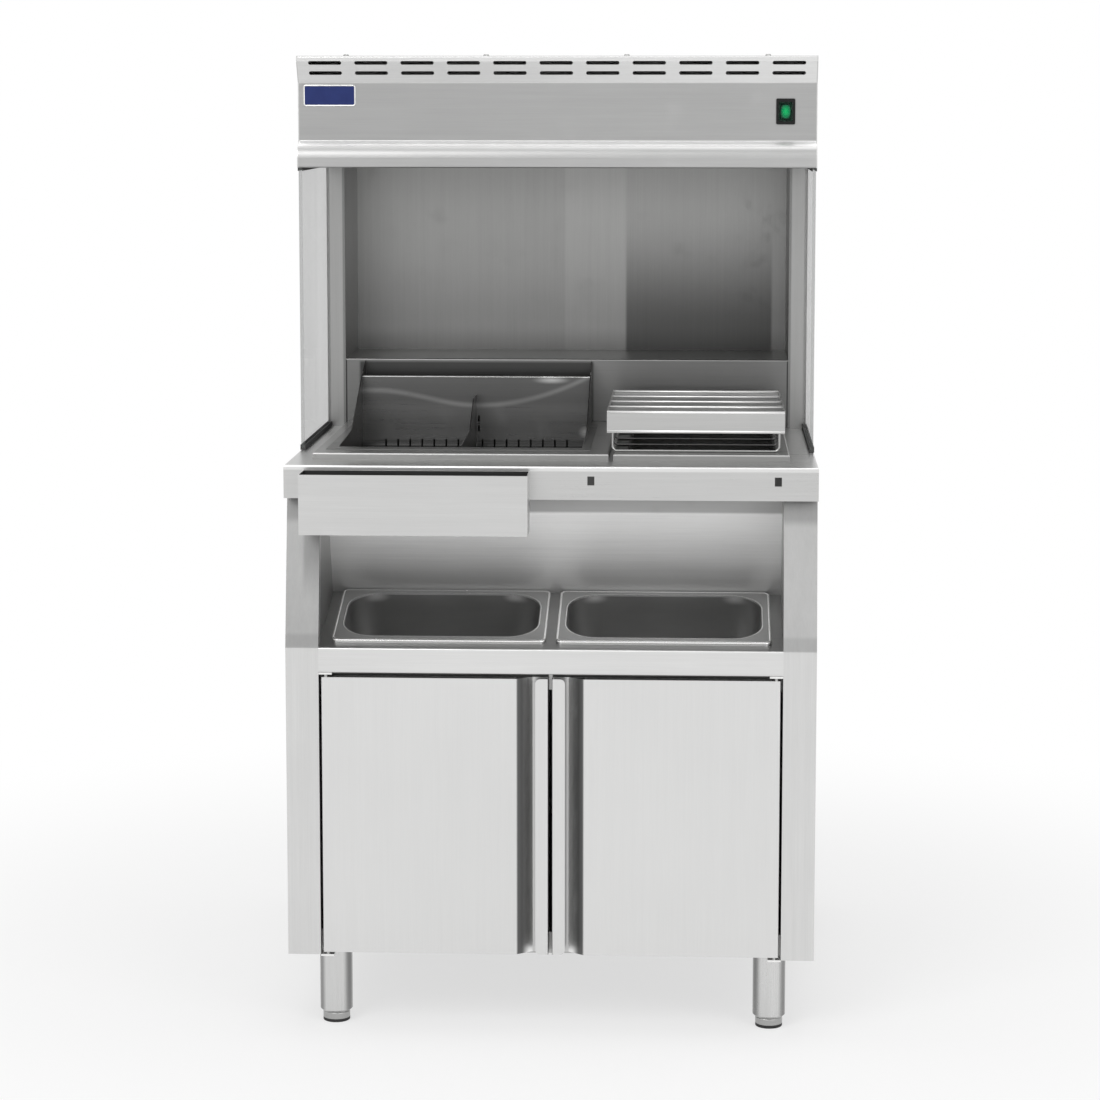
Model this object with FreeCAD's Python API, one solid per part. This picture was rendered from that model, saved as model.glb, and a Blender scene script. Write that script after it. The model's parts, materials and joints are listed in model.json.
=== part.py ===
import FreeCAD, Part
import math
import os

# A chip dump station in stainless sheet: a cupboard on four legs with two lift-out pans in a
# sloping shelf, a worktop with a dump scuttle and a carton rack, and a heated hood on two posts
# with glass at both sides. Millimetres, +Z up, X across, Y from the front to the back.
# The origin lies on the floor, in the middle of the whole outline.

os.makedirs("parts", exist_ok=True)
Vector = FreeCAD.Vector

# Driving sizes of the station
width = 800.0
depth = 800.0
worktop_height = 872.0
total_height = 1482.0
sheet = 1.5
clearance = 0.3
running_gap = 0.05
overrun = 5.0
hair = 0.0001
bend_radius = 1.0

# Worktop
apron_height = 50.0
nosing_radius = 3.0
hook_slot_width = 10.5
hook_slot_height = 13.5
hook_slot_drop = 14.5
hook_slot_inner_x = 61.0
hook_slot_side = 60.0

# Cupboard sides and floor
cabinet_base = 120.0
flange_width = 50.0
flange_return = 20.0
slope_drop = 279.0
slope_set_back = 40.0
floor_tray_height = 33.5
rail_set_back = 25.0
side_rail_drop = 22.0

# Pan shelf and the niche above it
shelf_drop = 277.5
shelf_front_height = 38.0
shelf_rail_height = 27.5
shelf_depth = 190.0
shelf_rise = 55.5
niche_back_drop = 89.5
niche_back_lean = 51.0
niche_side_lap = 5.0

# Lift-out pans
pan_side_gap = 17.5
pan_width = 176.0
pan_depth = 100.0
pan_rim = 13.0
pan_corner = 48.0
pan_outer_corner = 10.0
pan_skirt = 5.0
pan_wall = 0.8
pan_taper = 6.0
pan_floor_round = 16.0
pan_gap = 15.0
pan_front = 20.0
pan_seat_lap = 9.0

# Doors
door_top_gap = 6.8
door_bottom_gap = 4.0
door_side_gap = 3.6
door_thickness = 20.0
door_middle_gap = 5.5
grip_face_x = 51.5
grip_floor_x = 27.5
grip_flange_x = 22.5
grip_corner = 7.5
hinge_pin_inset = 10.0
hinge_pin_depth = 7.0
hinge_pin_radius = 3.0
hinge_plate = 3.0
hinge_plate_width = 20.0
hinge_plate_back = 36.0
liner_thickness = 1.0
magnet_length = 46.0
magnet_height = 14.0

# Legs and screw-in feet
leg_side = 66.0
leg_front = 62.0
leg_radius = 25.0
leg_wall = 1.5
leg_plug = 12.0
leg_end = 15.5
leg_chamfer = 4.0
leg_flange_width = 68.0
leg_flange_thickness = 3.0
foot_radius = 21.0
foot_pad_height = 5.0
foot_stem_radius = 8.0
foot_stem_length = 45.0

# Hanging scoop box
scoop_box_margin = 30.5
scoop_box_reach = 58.0
scoop_box_height = 90.0
scoop_box_below_top = 7.5
hook_width = 8.0
hook_thickness = 1.5
hook_drop = 9.0

# Raised decks on the worktop
deck_front = 75.5
deck_back_margin = 255.0
deck_height = 10.0
deck_edge_radius = 2.5
deck_side_margin = 34.5
dump_deck_width = 450.5
deck_gap = 7.0
rack_deck_margin = 41.0

# Dump scuttle
scuttle_flange_side = 15.5
scuttle_flange_inner = 30.0
scuttle_flange_set_back = 44.5
flange_left_width = 16.0
flange_right_width = 13.0
flange_front_width = 30.0
scuttle_front_slope = 28.0
scuttle_drop = 34.0
scuttle_back_margin = 54.0
scuttle_back_rise = 90.0
scuttle_hem = 5.0
scuttle_bend = 15.0
scuttle_wall = 1.2
wing_knee_share = 0.519
wing_knee_rise = 18.0
wing_step_margin = 9.0
wing_step_rise = 91.0
wing_back_margin = 2.0
wing_top_rise = 110.0
divider_knee_share = 0.572
divider_knee_rise = 17.0
divider_step_share = 0.812
divider_top_rise = 59.0
scuttle_slot_count = 16
scuttle_slot_margin = 38.0
scuttle_slot_width = 3.0
scuttle_slot_rise = 19.0
scuttle_slot_run = 28.0
tab_slot_width = 3.2
tab_slot_rises = (24.5, 12.0)
tab_slot_heights = (10.5, 14.0)
tab_slot_offset = 4.0
well_depth = 62.0
well_wall = 1.2
well_lip = 6.0
well_margin = 8.0
strainer_thickness = 1.5
strainer_margin = 12.0
strainer_columns = 12
strainer_rows = 7
strainer_hole_radius = 4.0
strainer_foot_height = 6.0
strainer_foot_radius = 5.0

# Carton rack
rack_left_overhang = 10.5
rack_right_margin = 7.0
rack_front_margin = 29.5
rack_back_margin = 116.0
rack_plates = 5
rack_lift = 39.5
rack_height = 34.0
rack_plate = 1.5
rack_hem = 4.0
rack_hem_height = 3.0
rack_wire_radius = 1.75
rack_wire_bend = 7.0
rack_wire_inset = 7.0
rack_opening_margin = 20.0
rack_opening_front = 44.0
rack_well_set_back = 74.5

# Posts, glass and back
post_width = 30.0
post_back_margin = 30.0
ledge_gap = 2.0
ledge_rise = 114.0
back_panel_margin = 34.0
glass_thickness = 5.0
glass_set_back = 7.0
channel_width = 8.0
channel_height = 8.0
channel_floor = 3.0
top_channel_height = 12.0

# Hood
hood_front = 190.0
hood_recess = 18.0
hood_height = 171.0
hood_brow_height = 9.0
hood_strip_height = 40.5
hood_lip_height = 41.0
hood_lip_knee = 12.0
hood_lip_radius = 24.0
hood_lip_return = 6.0
hood_base_lift = 7.0
vent_columns = 11
vent_margin = 44.0
vent_length = 51.0
vent_height = 5.5
vent_upper_drop = 10.8
vent_lower_drop = 26.2
heater_side_margin = 80.0
heater_front_margin = 100.0
heater_opening_depth = 220.0
reflector_height = 52.0
reflector_slope = 30.0
tube_radius = 6.0
tube_drop = 26.0
tube_spread = 70.0
holder_length = 20.0
holder_margin = 14.0
guard_wire_radius = 1.5
guard_long_wires = 7
guard_cross_wires = 9
screw_head_radius = 4.5
screw_head_height = 3.0
screw_columns = 4
screw_rows = 3
screw_side_margin = 76.0
screw_row_margin = 12.0

# Rocker switch and badge plate on the hood
switch_side = 48.5
switch_drop = 84.8
bezel_width = 29.0
bezel_height = 39.5
bezel_proud = 3.0
bezel_corner = 2.0
switch_hole_width = 22.0
switch_hole_height = 30.0
switch_body_wall = 1.5
switch_body_depth = 24.0
rocker_width = 14.0
rocker_height = 20.0
rocker_depth = 9.0
rocker_tilt = 6.0
rocker_crown = 1.2
rocker_pin_radius = 1.5
cap_wall = 0.8
cap_height = 6.5
cap_round = 3.0
badge_side = 49.0
badge_drop = 60.5
badge_width = 81.0
badge_height = 33.0
badge_thickness = 1.0
badge_corner = 4.0

# Services at the back
gland_side = 100.0
gland_above_top = 60.0
gland_radius = 9.0
gland_nut_radius = 12.0
gland_length = 18.0
gland_nut_length = 7.0
gland_bore = 5.0
terminal_length = 60.0
terminal_width = 30.0
terminal_height = 24.0
terminal_side = 70.0
terminal_gap = 50.0

# Places worked out from the driving sizes. The depth of a place is counted from the front plane.
half_width = width / 2
front_y = (scoop_box_reach - depth) / 2
inner_half = half_width - sheet
niche_half = half_width - flange_width
leg_x = half_width - leg_side
leg_back = depth - leg_front
hinge_pin_x = niche_half - hinge_pin_inset
hook_slot_outer_x = half_width - hook_slot_side
scoop_box_length = hook_slot_outer_x - hook_slot_inner_x + scoop_box_margin * 2
pan_length = niche_half - pan_side_gap - pan_gap / 2
pan_pitch = pan_length + pan_gap

# Heights of the cupboard
worktop_under = worktop_height - sheet
apron_bottom = worktop_height - apron_height
slope_start = worktop_height - slope_drop
shelf_front_top = worktop_height - shelf_drop
shelf_under = shelf_front_top - shelf_front_height
shelf_back_top = shelf_front_top + shelf_rise
niche_back_top = worktop_height - niche_back_drop
door_top = shelf_under - door_top_gap
door_bottom = cabinet_base + door_bottom_gap

# Places on the worktop
deck_top = worktop_height + deck_height
deck_back = depth - deck_back_margin
dump_deck_left = deck_side_margin - half_width
dump_deck_right = dump_deck_left + dump_deck_width
rack_deck_left = dump_deck_right + deck_gap
rack_deck_right = half_width - rack_deck_margin
scuttle_flange_left = dump_deck_left + scuttle_flange_side
scuttle_flange_right = dump_deck_right - scuttle_flange_inner
scuttle_flange_front = deck_front + scuttle_flange_set_back
scuttle_left = scuttle_flange_left + flange_left_width
scuttle_right = scuttle_flange_right - flange_right_width
scuttle_front = scuttle_flange_front + flange_front_width
scuttle_floor_front = scuttle_front + scuttle_front_slope
scuttle_floor = worktop_height - scuttle_drop
scuttle_back = deck_back - scuttle_back_margin
scuttle_back_top = worktop_height + scuttle_back_rise
scuttle_run = scuttle_back - scuttle_front
scuttle_middle = (scuttle_left + scuttle_right) / 2
rack_left = rack_deck_left - rack_left_overhang
rack_right = rack_deck_right - rack_right_margin
rack_front = deck_front + rack_front_margin
rack_pitch = (deck_back - rack_back_margin - rack_front) / (rack_plates - 1)
rack_bottom = worktop_height + rack_lift
rack_top = rack_bottom + rack_height

# Places of the posts and the hood
post_back = depth - post_back_margin
ledge_front = deck_back + ledge_gap
ledge_height = worktop_height + ledge_rise
back_panel_depth = post_back - back_panel_margin
glass_front = hood_front + glass_set_back
hood_bottom = total_height - hood_height
hood_base_height = hood_bottom + hood_base_lift
hood_strip_bottom = total_height - hood_strip_height
hood_lip_top = hood_bottom + hood_lip_height
heater_opening_length = width - heater_side_margin * 2
heater_opening_front = hood_front + heater_front_margin
heater_opening_back = heater_opening_front + heater_opening_depth
switch_x = half_width - switch_side
switch_z = total_height - switch_drop
badge_x = badge_side - half_width
badge_z = total_height - badge_drop
gland_x = half_width - gland_side
terminal_x = half_width - terminal_side
terminal_depth = heater_opening_back + terminal_gap


def at(x, d, z):
    return Vector(x, front_y + d, z)


def block(x0, x1, d0, d1, z0, z1):
    return Part.makeBox(x1 - x0, d1 - d0, z1 - z0, at(x0, d0, z0))


def rounded_face(corners, radii):
    # A flat face with a true arc at each corner that has a radius
    count = len(corners)
    rounds = []
    for i, corner in enumerate(corners):
        if radii[i] <= 0:
            rounds.append((corner, None, corner))
            continue
        a = (corners[i - 1] - corner).normalize()
        b = (corners[(i + 1) % count] - corner).normalize()
        half = a.getAngle(b) / 2
        reach = radii[i] / math.tan(half)
        centre = corner + (a + b).normalize() * (radii[i] / math.sin(half))
        middle = centre + (corner - centre).normalize() * radii[i]
        rounds.append((corner + a * reach, middle, corner + b * reach))
    edges = []
    for i, (start, middle, end) in enumerate(rounds):
        if middle is not None:
            edges.append(Part.Arc(start, middle, end).toShape())
        following = rounds[(i + 1) % count][0]
        if (following - end).Length > hair:
            edges.append(Part.LineSegment(end, following).toShape())
    return Part.Face(Part.Wire(edges))


def across(outline, x0, x1, radii=None):
    # An outline of (depth, height) points, pushed along X
    corners = [at(x0, d, z) for d, z in outline]
    return rounded_face(corners, radii or [0] * len(corners)).extrude(Vector(x1 - x0, 0, 0))


def upright(outline, z0, z1, radii=None):
    # An outline of (x, depth) points, pushed up
    corners = [at(x, d, z0) for x, d in outline]
    return rounded_face(corners, radii or [0] * len(corners)).extrude(Vector(0, 0, z1 - z0))


def inward(outline, d0, d1, radii=None):
    # An outline of (x, height) points, pushed towards the back
    corners = [at(x, d0, z) for x, z in outline]
    return rounded_face(corners, radii or [0] * len(corners)).extrude(Vector(0, d1 - d0, 0))


def fold(line, thick, bends):
    # The outline of a bent sheet: the line is one face and the sheet lies to its left
    def step(a, b):
        dx, dy = b[0] - a[0], b[1] - a[1]
        size = math.hypot(dx, dy)
        return dx / size, dy / size

    last = len(line) - 1
    face_radii, back, back_radii = [], [], []
    for i, (u, v) in enumerate(line):
        before = step(line[i - 1], line[i]) if i > 0 else step(line[0], line[1])
        after = step(line[i], line[i + 1]) if i < last else before
        scale = thick / (1 + before[0] * after[0] + before[1] * after[1])
        back.append((u - (before[1] + after[1]) * scale, v + (before[0] + after[0]) * scale))
        turn = before[0] * after[1] - before[1] * after[0]
        inside = bends[i - 1] if 0 < i < last else 0
        outside = inside + thick if inside > 0 else 0
        face_radii.append(outside if turn > 0 else inside)
        back_radii.append(inside if turn > 0 else outside)
    return line + back[::-1], face_radii + back_radii[::-1]


def rectangle(u0, u1, v0, v1):
    return [(u0, v0), (u1, v0), (u1, v1), (u0, v1)]


def cylinder(radius, start, direction, length):
    return Part.makeCylinder(radius, length, start, direction)


def wire_path(points, bend):
    # Straight runs joined by tangent arcs of one radius
    edges = []
    here = points[0]
    for i in range(1, len(points) - 1):
        a = (points[i - 1] - points[i]).normalize()
        b = (points[i + 1] - points[i]).normalize()
        half = a.getAngle(b) / 2
        reach = bend / math.tan(half)
        centre = points[i] + (a + b).normalize() * (bend / math.sin(half))
        middle = centre + (points[i] - centre).normalize() * bend
        start, end = points[i] + a * reach, points[i] + b * reach
        edges.append(Part.LineSegment(here, start).toShape())
        edges.append(Part.Arc(start, middle, end).toShape())
        here = end
    edges.append(Part.LineSegment(here, points[-1]).toShape())
    return Part.Wire(edges)


def bent_wire(points, bend, radius):
    path = wire_path(points, bend)
    ring = Part.Wire(Part.makeCircle(radius, points[0], points[1] - points[0]))
    return path.makePipeShell([ring], True, False)


def mirrored(shape):
    return shape.mirror(Vector(0, 0, 0), Vector(1, 0, 0))


def joined(shapes):
    solid = shapes[0]
    for shape in shapes[1:]:
        solid = solid.fuse(shape)
    return solid.removeSplitter()


def keep(name, *solids):
    shape = solids[0] if len(solids) == 1 else Part.makeCompound(list(solids))
    shape.exportStep("parts/" + name + ".step")
    print(name, len(shape.Solids), round(shape.Volume / 1000, 2), shape.isValid())


def keep_pair(name, left):
    keep(name + "_left", left)
    keep(name + "_right", mirrored(left))


# Cupboard

def side_panel():
    # Outer skin, a front flange that leans back above the shelf, and its inner return
    front_line = [(0, cabinet_base), (0, slope_start), (slope_set_back, apron_bottom)]
    back_corners = [(depth - sheet, apron_bottom), (depth - sheet, cabinet_base)]
    skin = across(front_line + back_corners, -half_width, -inner_half)
    face, face_radii = fold(front_line[::-1], sheet, [0])
    flange = across(face, -half_width, -niche_half, face_radii)
    strip, strip_radii = fold(front_line[::-1], flange_return, [0])
    inner = across(strip, -niche_half - sheet, -niche_half, strip_radii)
    return joined([skin, flange, inner])


def niche_side():
    # The niche's side wall carries on from the flange's return
    back = shelf_depth + niche_side_lap
    outline = [(0, shelf_under), (0, slope_start), (slope_set_back, apron_bottom),
               (slope_set_back, worktop_under), (back, worktop_under), (back, shelf_under)]
    return across(outline, -niche_half - sheet, -niche_half).cut(side_panel())


def shelf_angle():
    return math.degrees(math.atan2(shelf_rise, shelf_depth))


def on_shelf(shape):
    # From a flat layout, with Y along the slope from the shelf's front edge, to its place
    placed = shape.copy()
    placed.rotate(Vector(0, 0, 0), Vector(1, 0, 0), shelf_angle())
    placed.translate(at(0, 0, shelf_front_top))
    return placed


def rounded_ring(cx, y_mid, half_x, half_y, z, radius):
    corners = [Vector(cx - half_x, y_mid - half_y, z), Vector(cx + half_x, y_mid - half_y, z),
               Vector(cx + half_x, y_mid + half_y, z), Vector(cx - half_x, y_mid + half_y, z)]
    return rounded_face(corners, [radius] * 4).OuterWire


def pan_seat(cx):
    # The shelf's cut-out below one pan
    lap = pan_seat_lap
    hole = Part.makeBox(pan_length - lap * 2, pan_width - lap * 2, pan_depth,
                        Vector(cx - pan_length / 2 + lap, pan_front + lap, -pan_depth / 2))
    return on_shelf(hole)


def pan_shelf():
    line = [(shelf_depth, shelf_back_top), (0, shelf_front_top), (0, shelf_under),
            (rail_set_back, shelf_under), (rail_set_back, shelf_under - shelf_rail_height)]
    outline, radii = fold(line, sheet, [bend_radius] * 3)
    shelf = across(outline, -niche_half, niche_half, radii)
    for cx in (-pan_pitch / 2, pan_pitch / 2):
        shelf = shelf.cut(pan_seat(cx))
    for side in (-1, 1):
        shelf = shelf.cut(hinge_hole(side))
    return shelf


def niche_back():
    line = [(shelf_depth - niche_back_lean, worktop_under),
            (shelf_depth - niche_back_lean, niche_back_top), (shelf_depth, shelf_back_top)]
    outline, radii = fold(line, sheet, [bend_radius])
    return across(outline, -niche_half, niche_half, radii)


def pan(cx):
    # A pressed pan: a flat rim with a short skirt, and a tapered tub with a rounded floor
    half_x, half_y = pan_length / 2, pan_width / 2
    y_mid = pan_front + half_y
    top = pan_skirt

    def tub(wall):
        rings = []
        mouth_x, mouth_y = half_x - pan_rim - wall, half_y - pan_rim - wall
        corner = pan_corner - wall
        low = top - pan_depth + wall
        steps = [(0, top + (0 if wall == 0 else overrun)), (0, top),
                 (pan_taper, low + pan_floor_round)]
        for part in (1, 2, 3):
            angle = math.pi / 2 * part / 3
            inset = pan_taper + pan_floor_round * (1 - math.cos(angle))
            steps.append((inset, low + pan_floor_round * (1 - math.sin(angle))))
        if wall == 0:
            steps = steps[1:]
        for inset, z in steps:
            rings.append(rounded_ring(cx, y_mid, mouth_x - inset, mouth_y - inset, z,
                                      corner - inset))
        return Part.makeLoft(rings, True, True)

    rim = Part.Face(rounded_ring(cx, y_mid, half_x, half_y, 0, pan_outer_corner))
    rim = rim.extrude(Vector(0, 0, top))
    hollow = Part.Face(rounded_ring(cx, y_mid, half_x - pan_wall, half_y - pan_wall, 0,
                                    pan_outer_corner - pan_wall))
    hollow = hollow.extrude(Vector(0, 0, top - pan_wall))
    body = rim.cut(hollow).fuse(tub(0)).cut(tub(pan_wall))
    return on_shelf(body)


def cabinet_floor():
    top = cabinet_base + floor_tray_height
    line = [(depth - sheet * 2, cabinet_base), (depth - sheet * 2, top), (rail_set_back, top),
            (rail_set_back, cabinet_base)]
    outline, radii = fold(line, sheet, [bend_radius] * 2)
    return across(outline, -inner_half, inner_half, radii)


def cabinet_back():
    return block(-inner_half, inner_half, depth - sheet * 2, depth - sheet, cabinet_base,
                 worktop_under)


def side_rail():
    # A folded channel that ties the worktop to the side below it
    low = apron_bottom - side_rail_drop
    line = [(-niche_half - sheet, low), (-niche_half - sheet, worktop_under),
            (-inner_half, worktop_under), (-inner_half, low)]
    outline, radii = fold(line, sheet, [bend_radius] * 2)
    start = slope_set_back + flange_return * 2
    return inward(outline, start, depth - sheet * 2, radii)


# Legs and feet

def leg(x, d):
    # A tube with a screwed plug at its lower end and a flange under the cupboard's floor
    up = Vector(0, 0, 1)
    top = cabinet_base + floor_tray_height - sheet
    taper = Part.makeCone(foot_radius, leg_radius, leg_chamfer, at(x, d, leg_end), up)
    tube = cylinder(leg_radius, at(x, d, leg_end + leg_chamfer), up, top - leg_end - leg_chamfer)
    half = leg_flange_width / 2
    flange = block(x - half, x + half, d - half, d + half, top - leg_flange_thickness, top)
    bore = cylinder(leg_radius - leg_wall, at(x, d, leg_end + leg_plug), up,
                    top - leg_end - leg_plug - leg_flange_thickness)
    thread = cylinder(foot_stem_radius + running_gap, at(x, d, 0), up,
                      leg_end + leg_plug + overrun)
    return joined([taper, tube, flange]).cut(bore).cut(thread)


def foot(x, d):
    pad = cylinder(foot_radius - clearance, at(x, d, 0), Vector(0, 0, 1), leg_end - clearance)
    pad = pad.makeFillet(foot_pad_height / 3, [pad.Edges[-1], pad.Edges[0]])
    stem = cylinder(foot_stem_radius, at(x, d, leg_end - clearance * 2), Vector(0, 0, 1),
                    foot_stem_length)
    return joined([pad, stem])


# Doors

def hinge_hole(side):
    centre = at(side * hinge_pin_x, hinge_pin_depth, cabinet_base - hinge_plate - overrun)
    return cylinder(hinge_pin_radius + running_gap, centre, Vector(0, 0, 1),
                    shelf_front_top - cabinet_base)


def hinge_pins(side):
    # Each pin is welded through the door's end plate and turns in a carcass plate
    x = side * hinge_pin_x
    high = shelf_under + sheet
    up = cylinder(hinge_pin_radius, at(x, hinge_pin_depth, door_top - hinge_plate_width),
                  Vector(0, 0, 1), high - door_top + hinge_plate_width)
    down = cylinder(hinge_pin_radius, at(x, hinge_pin_depth, cabinet_base - hinge_plate),
                    Vector(0, 0, 1), door_bottom - cabinet_base + hinge_plate + hinge_plate_width)
    return [up, down]


def hinge_plates(side):
    # A plate under the shelf's front above each door, and one that runs out below the floor
    near = side * niche_half
    far = side * (niche_half - hinge_plate_width)
    x0, x1 = min(near, far), max(near, far)
    high = block(x0, x1, sheet, rail_set_back - bend_radius, shelf_under - hinge_plate,
                 shelf_under)
    low = block(x0, x1, sheet, hinge_plate_back, cabinet_base - hinge_plate, cabinet_base)
    return [plate.cut(hinge_hole(side)) for plate in (high, low)]


def door_skin():
    # The left door: a tray whose free edge folds back into a finger grip and forward to a flange
    hinge_edge = -niche_half + door_side_gap
    free_edge = -door_middle_gap / 2
    line = [(hinge_edge, door_thickness), (hinge_edge, 0), (-grip_face_x, 0),
            (-grip_floor_x, door_thickness - sheet), (free_edge - sheet, door_thickness - sheet),
            (free_edge - sheet, sheet), (-grip_flange_x, sheet)]
    outline, radii = fold(line, sheet, [bend_radius] * 5)
    skin = upright(outline, door_bottom, door_top, radii)
    ends = [(hinge_edge + sheet, sheet), (-grip_face_x - sheet, sheet),
            (-grip_floor_x - sheet, door_thickness), (hinge_edge + sheet, door_thickness)]
    lower = upright(ends, door_bottom, door_bottom + sheet)
    upper = upright(ends, door_top - sheet, door_top)
    skin = joined([skin, lower, upper])
    for z, sign in ((door_top, -1), (door_bottom, 1)):
        corner = block(-grip_flange_x - overrun, -grip_flange_x + grip_corner, -overrun,
                       sheet + hair, min(z, z + sign * grip_corner), max(z, z + sign * grip_corner))
        disc = cylinder(grip_corner, at(-grip_flange_x + grip_corner, -overrun * 2,
                                        z + sign * grip_corner), Vector(0, 1, 0), overrun * 4)
        skin = skin.cut(corner.cut(disc))
    for pin in hinge_pins(-1):
        skin = skin.cut(pin)
    return skin


def door_liner():
    return block(-niche_half + door_side_gap, -door_middle_gap / 2, door_thickness,
                 door_thickness + liner_thickness, door_bottom, door_top)


def magnets():
    # A catch on the shelf rail behind each door's free top corner
    front = door_thickness + liner_thickness + clearance
    low = door_top - magnet_height
    solids = []
    for side in (-1, 1):
        near = side * (door_middle_gap + magnet_height)
        far = near + side * magnet_length
        solids.append(block(min(near, far), max(near, far), front, rail_set_back, low,
                            door_top))
    return solids


# Worktop

def worktop():
    slab = block(-half_width, half_width, 0, depth, apron_bottom, worktop_height)
    edges = [e for e in slab.Edges
             if e.BoundBox.ZMin > worktop_height - hair and e.BoundBox.YMin < front_y + depth - hair]
    slab = slab.makeFillet(nosing_radius, edges)
    hollow = block(-inner_half, inner_half, sheet, depth - sheet, apron_bottom - overrun,
                   worktop_under)
    top = slab.cut(hollow)
    for side in (-1, 1):
        for x in (hook_slot_inner_x, hook_slot_outer_x):
            top = top.cut(hook_slot(side * x))
    for x0, x1, d0 in wells():
        top = top.cut(block(x0, x1, d0, well_back(), worktop_under - overrun,
                            worktop_height + overrun))
    return top


def hook_slot(x):
    high = worktop_height - hook_slot_drop
    return block(x - hook_slot_width / 2, x + hook_slot_width / 2, -overrun, sheet + overrun,
                 high - hook_slot_height, high)


def wells():
    # Left, right and front of the two wells below the worktop
    return [(scuttle_left - well_margin, scuttle_right + well_margin,
             scuttle_front - well_margin),
            (rack_deck_left + rack_opening_margin, rack_deck_right - rack_opening_margin,
             deck_front + rack_well_set_back)]


def well_back():
    return deck_back - rack_opening_margin


def well(x0, x1, d0):
    # A tray whose lip lies on the worktop
    d1 = well_back()
    lip = block(x0 - well_lip, x1 + well_lip, d0 - well_lip, d1 + well_lip, worktop_height,
                worktop_height + well_wall)
    tub = block(x0, x1, d0, d1, worktop_height - well_depth, worktop_height)
    hollow = block(x0 + well_wall, x1 - well_wall, d0 + well_wall, d1 - well_wall,
                   worktop_height - well_depth + well_wall, worktop_height + overrun)
    return joined([lip, tub]).cut(hollow)


def scoop_box():
    # An open box with two hooks at its back, hung in the left pair of slots
    left = -(hook_slot_inner_x + hook_slot_outer_x) / 2 - scoop_box_length / 2
    top = worktop_height - scoop_box_below_top
    shell = block(left, left + scoop_box_length, -scoop_box_reach, 0, top - scoop_box_height, top)
    hollow = block(left + sheet, left + scoop_box_length - sheet, -scoop_box_reach + sheet,
                   -sheet, top - scoop_box_height + sheet, top + overrun)
    shapes = [shell.cut(hollow)]
    seat = worktop_height - hook_slot_drop - hook_slot_height
    for x in (-hook_slot_inner_x, -hook_slot_outer_x):
        x0, x1 = x - hook_width / 2, x + hook_width / 2
        back = sheet + clearance + hook_thickness
        shapes.append(block(x0, x1, -sheet, back, seat, seat + hook_thickness))
        shapes.append(block(x0, x1, back - hook_thickness, back, seat - hook_drop,
                            seat + hook_thickness))
    return joined(shapes)


# Decks, scuttle and rack

def deck(x0, x1, opening):
    # A shallow upturned tray on the worktop, with one opening
    shell = block(x0, x1, deck_front, deck_back, worktop_height, deck_top)
    shell = shell.makeFillet(deck_edge_radius,
                             [e for e in shell.Edges if e.BoundBox.ZMin > deck_top - hair])
    hollow = block(x0 + sheet, x1 - sheet, deck_front + sheet, deck_back - sheet,
                   worktop_height - overrun, deck_top - sheet)
    a, b, c, d = opening
    return shell.cut(hollow).cut(block(a, b, c, d, worktop_height, deck_top + overrun))


def scuttle():
    # Bent floor and back between two winged sides, with a flange that lies on the deck
    flange_top = deck_top + scuttle_wall
    line = [(scuttle_back + scuttle_hem, scuttle_back_top), (scuttle_back, scuttle_back_top),
            (scuttle_back, scuttle_floor), (scuttle_floor_front, scuttle_floor),
            (scuttle_front, flange_top), (scuttle_flange_front, flange_top)]
    outline, radii = fold(line, scuttle_wall,
                          [bend_radius, scuttle_bend, scuttle_bend, bend_radius])
    bed = across(outline, scuttle_left, scuttle_right, radii)
    outer_back = scuttle_back + scuttle_wall
    wing = [(scuttle_front, flange_top), (scuttle_floor_front, scuttle_floor - scuttle_wall),
            (outer_back, scuttle_floor - scuttle_wall), (outer_back, flange_top),
            (deck_back - wing_back_margin, flange_top),
            (deck_back - wing_back_margin, worktop_height + wing_top_rise),
            (scuttle_back - wing_step_margin, worktop_height + wing_step_rise),
            (scuttle_front + scuttle_run * wing_knee_share, worktop_height + wing_knee_rise)]
    left = across(wing, scuttle_left - scuttle_wall, scuttle_left)
    right = across(wing, scuttle_right, scuttle_right + scuttle_wall)
    rim = block(scuttle_flange_left, scuttle_flange_right, scuttle_flange_front,
                scuttle_back, deck_top, flange_top)
    rim = rim.cut(block(scuttle_left, scuttle_right, scuttle_front - overrun,
                        scuttle_back + overrun, deck_top - overrun, flange_top + overrun))
    body = joined([bed, left, right, rim])
    first = scuttle_left + scuttle_slot_margin
    pitch = (scuttle_right - scuttle_slot_margin - first) / (scuttle_slot_count - 1)
    for i in range(scuttle_slot_count):
        x = first + i * pitch
        body = body.cut(block(x - scuttle_slot_width / 2, x + scuttle_slot_width / 2,
                              scuttle_back - scuttle_slot_run, scuttle_back + overrun,
                              scuttle_floor - overrun, scuttle_floor + scuttle_slot_rise))
    for rise, tall in zip(tab_slot_rises, tab_slot_heights):
        x = scuttle_middle + tab_slot_offset
        top = worktop_height + rise
        body = body.cut(block(x - tab_slot_width / 2, x + tab_slot_width / 2,
                              scuttle_back - overrun, scuttle_back + overrun, top - tall, top))
    return body


def divider():
    # An upright plate that parts the scuttle in two
    base = scuttle_floor + strainer_foot_height + strainer_thickness
    top = worktop_height + divider_top_rise
    outline = [(scuttle_front + scuttle_bend, deck_top + scuttle_wall),
               (scuttle_floor_front + scuttle_bend, base), (scuttle_back - scuttle_bend, base),
               (scuttle_back, base + scuttle_bend), (scuttle_back, top),
               (scuttle_front + scuttle_run * divider_step_share, top),
               (scuttle_front + scuttle_run * divider_knee_share,
                worktop_height + divider_knee_rise)]
    return across(outline, scuttle_middle - scuttle_wall / 2, scuttle_middle + scuttle_wall / 2)


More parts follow.
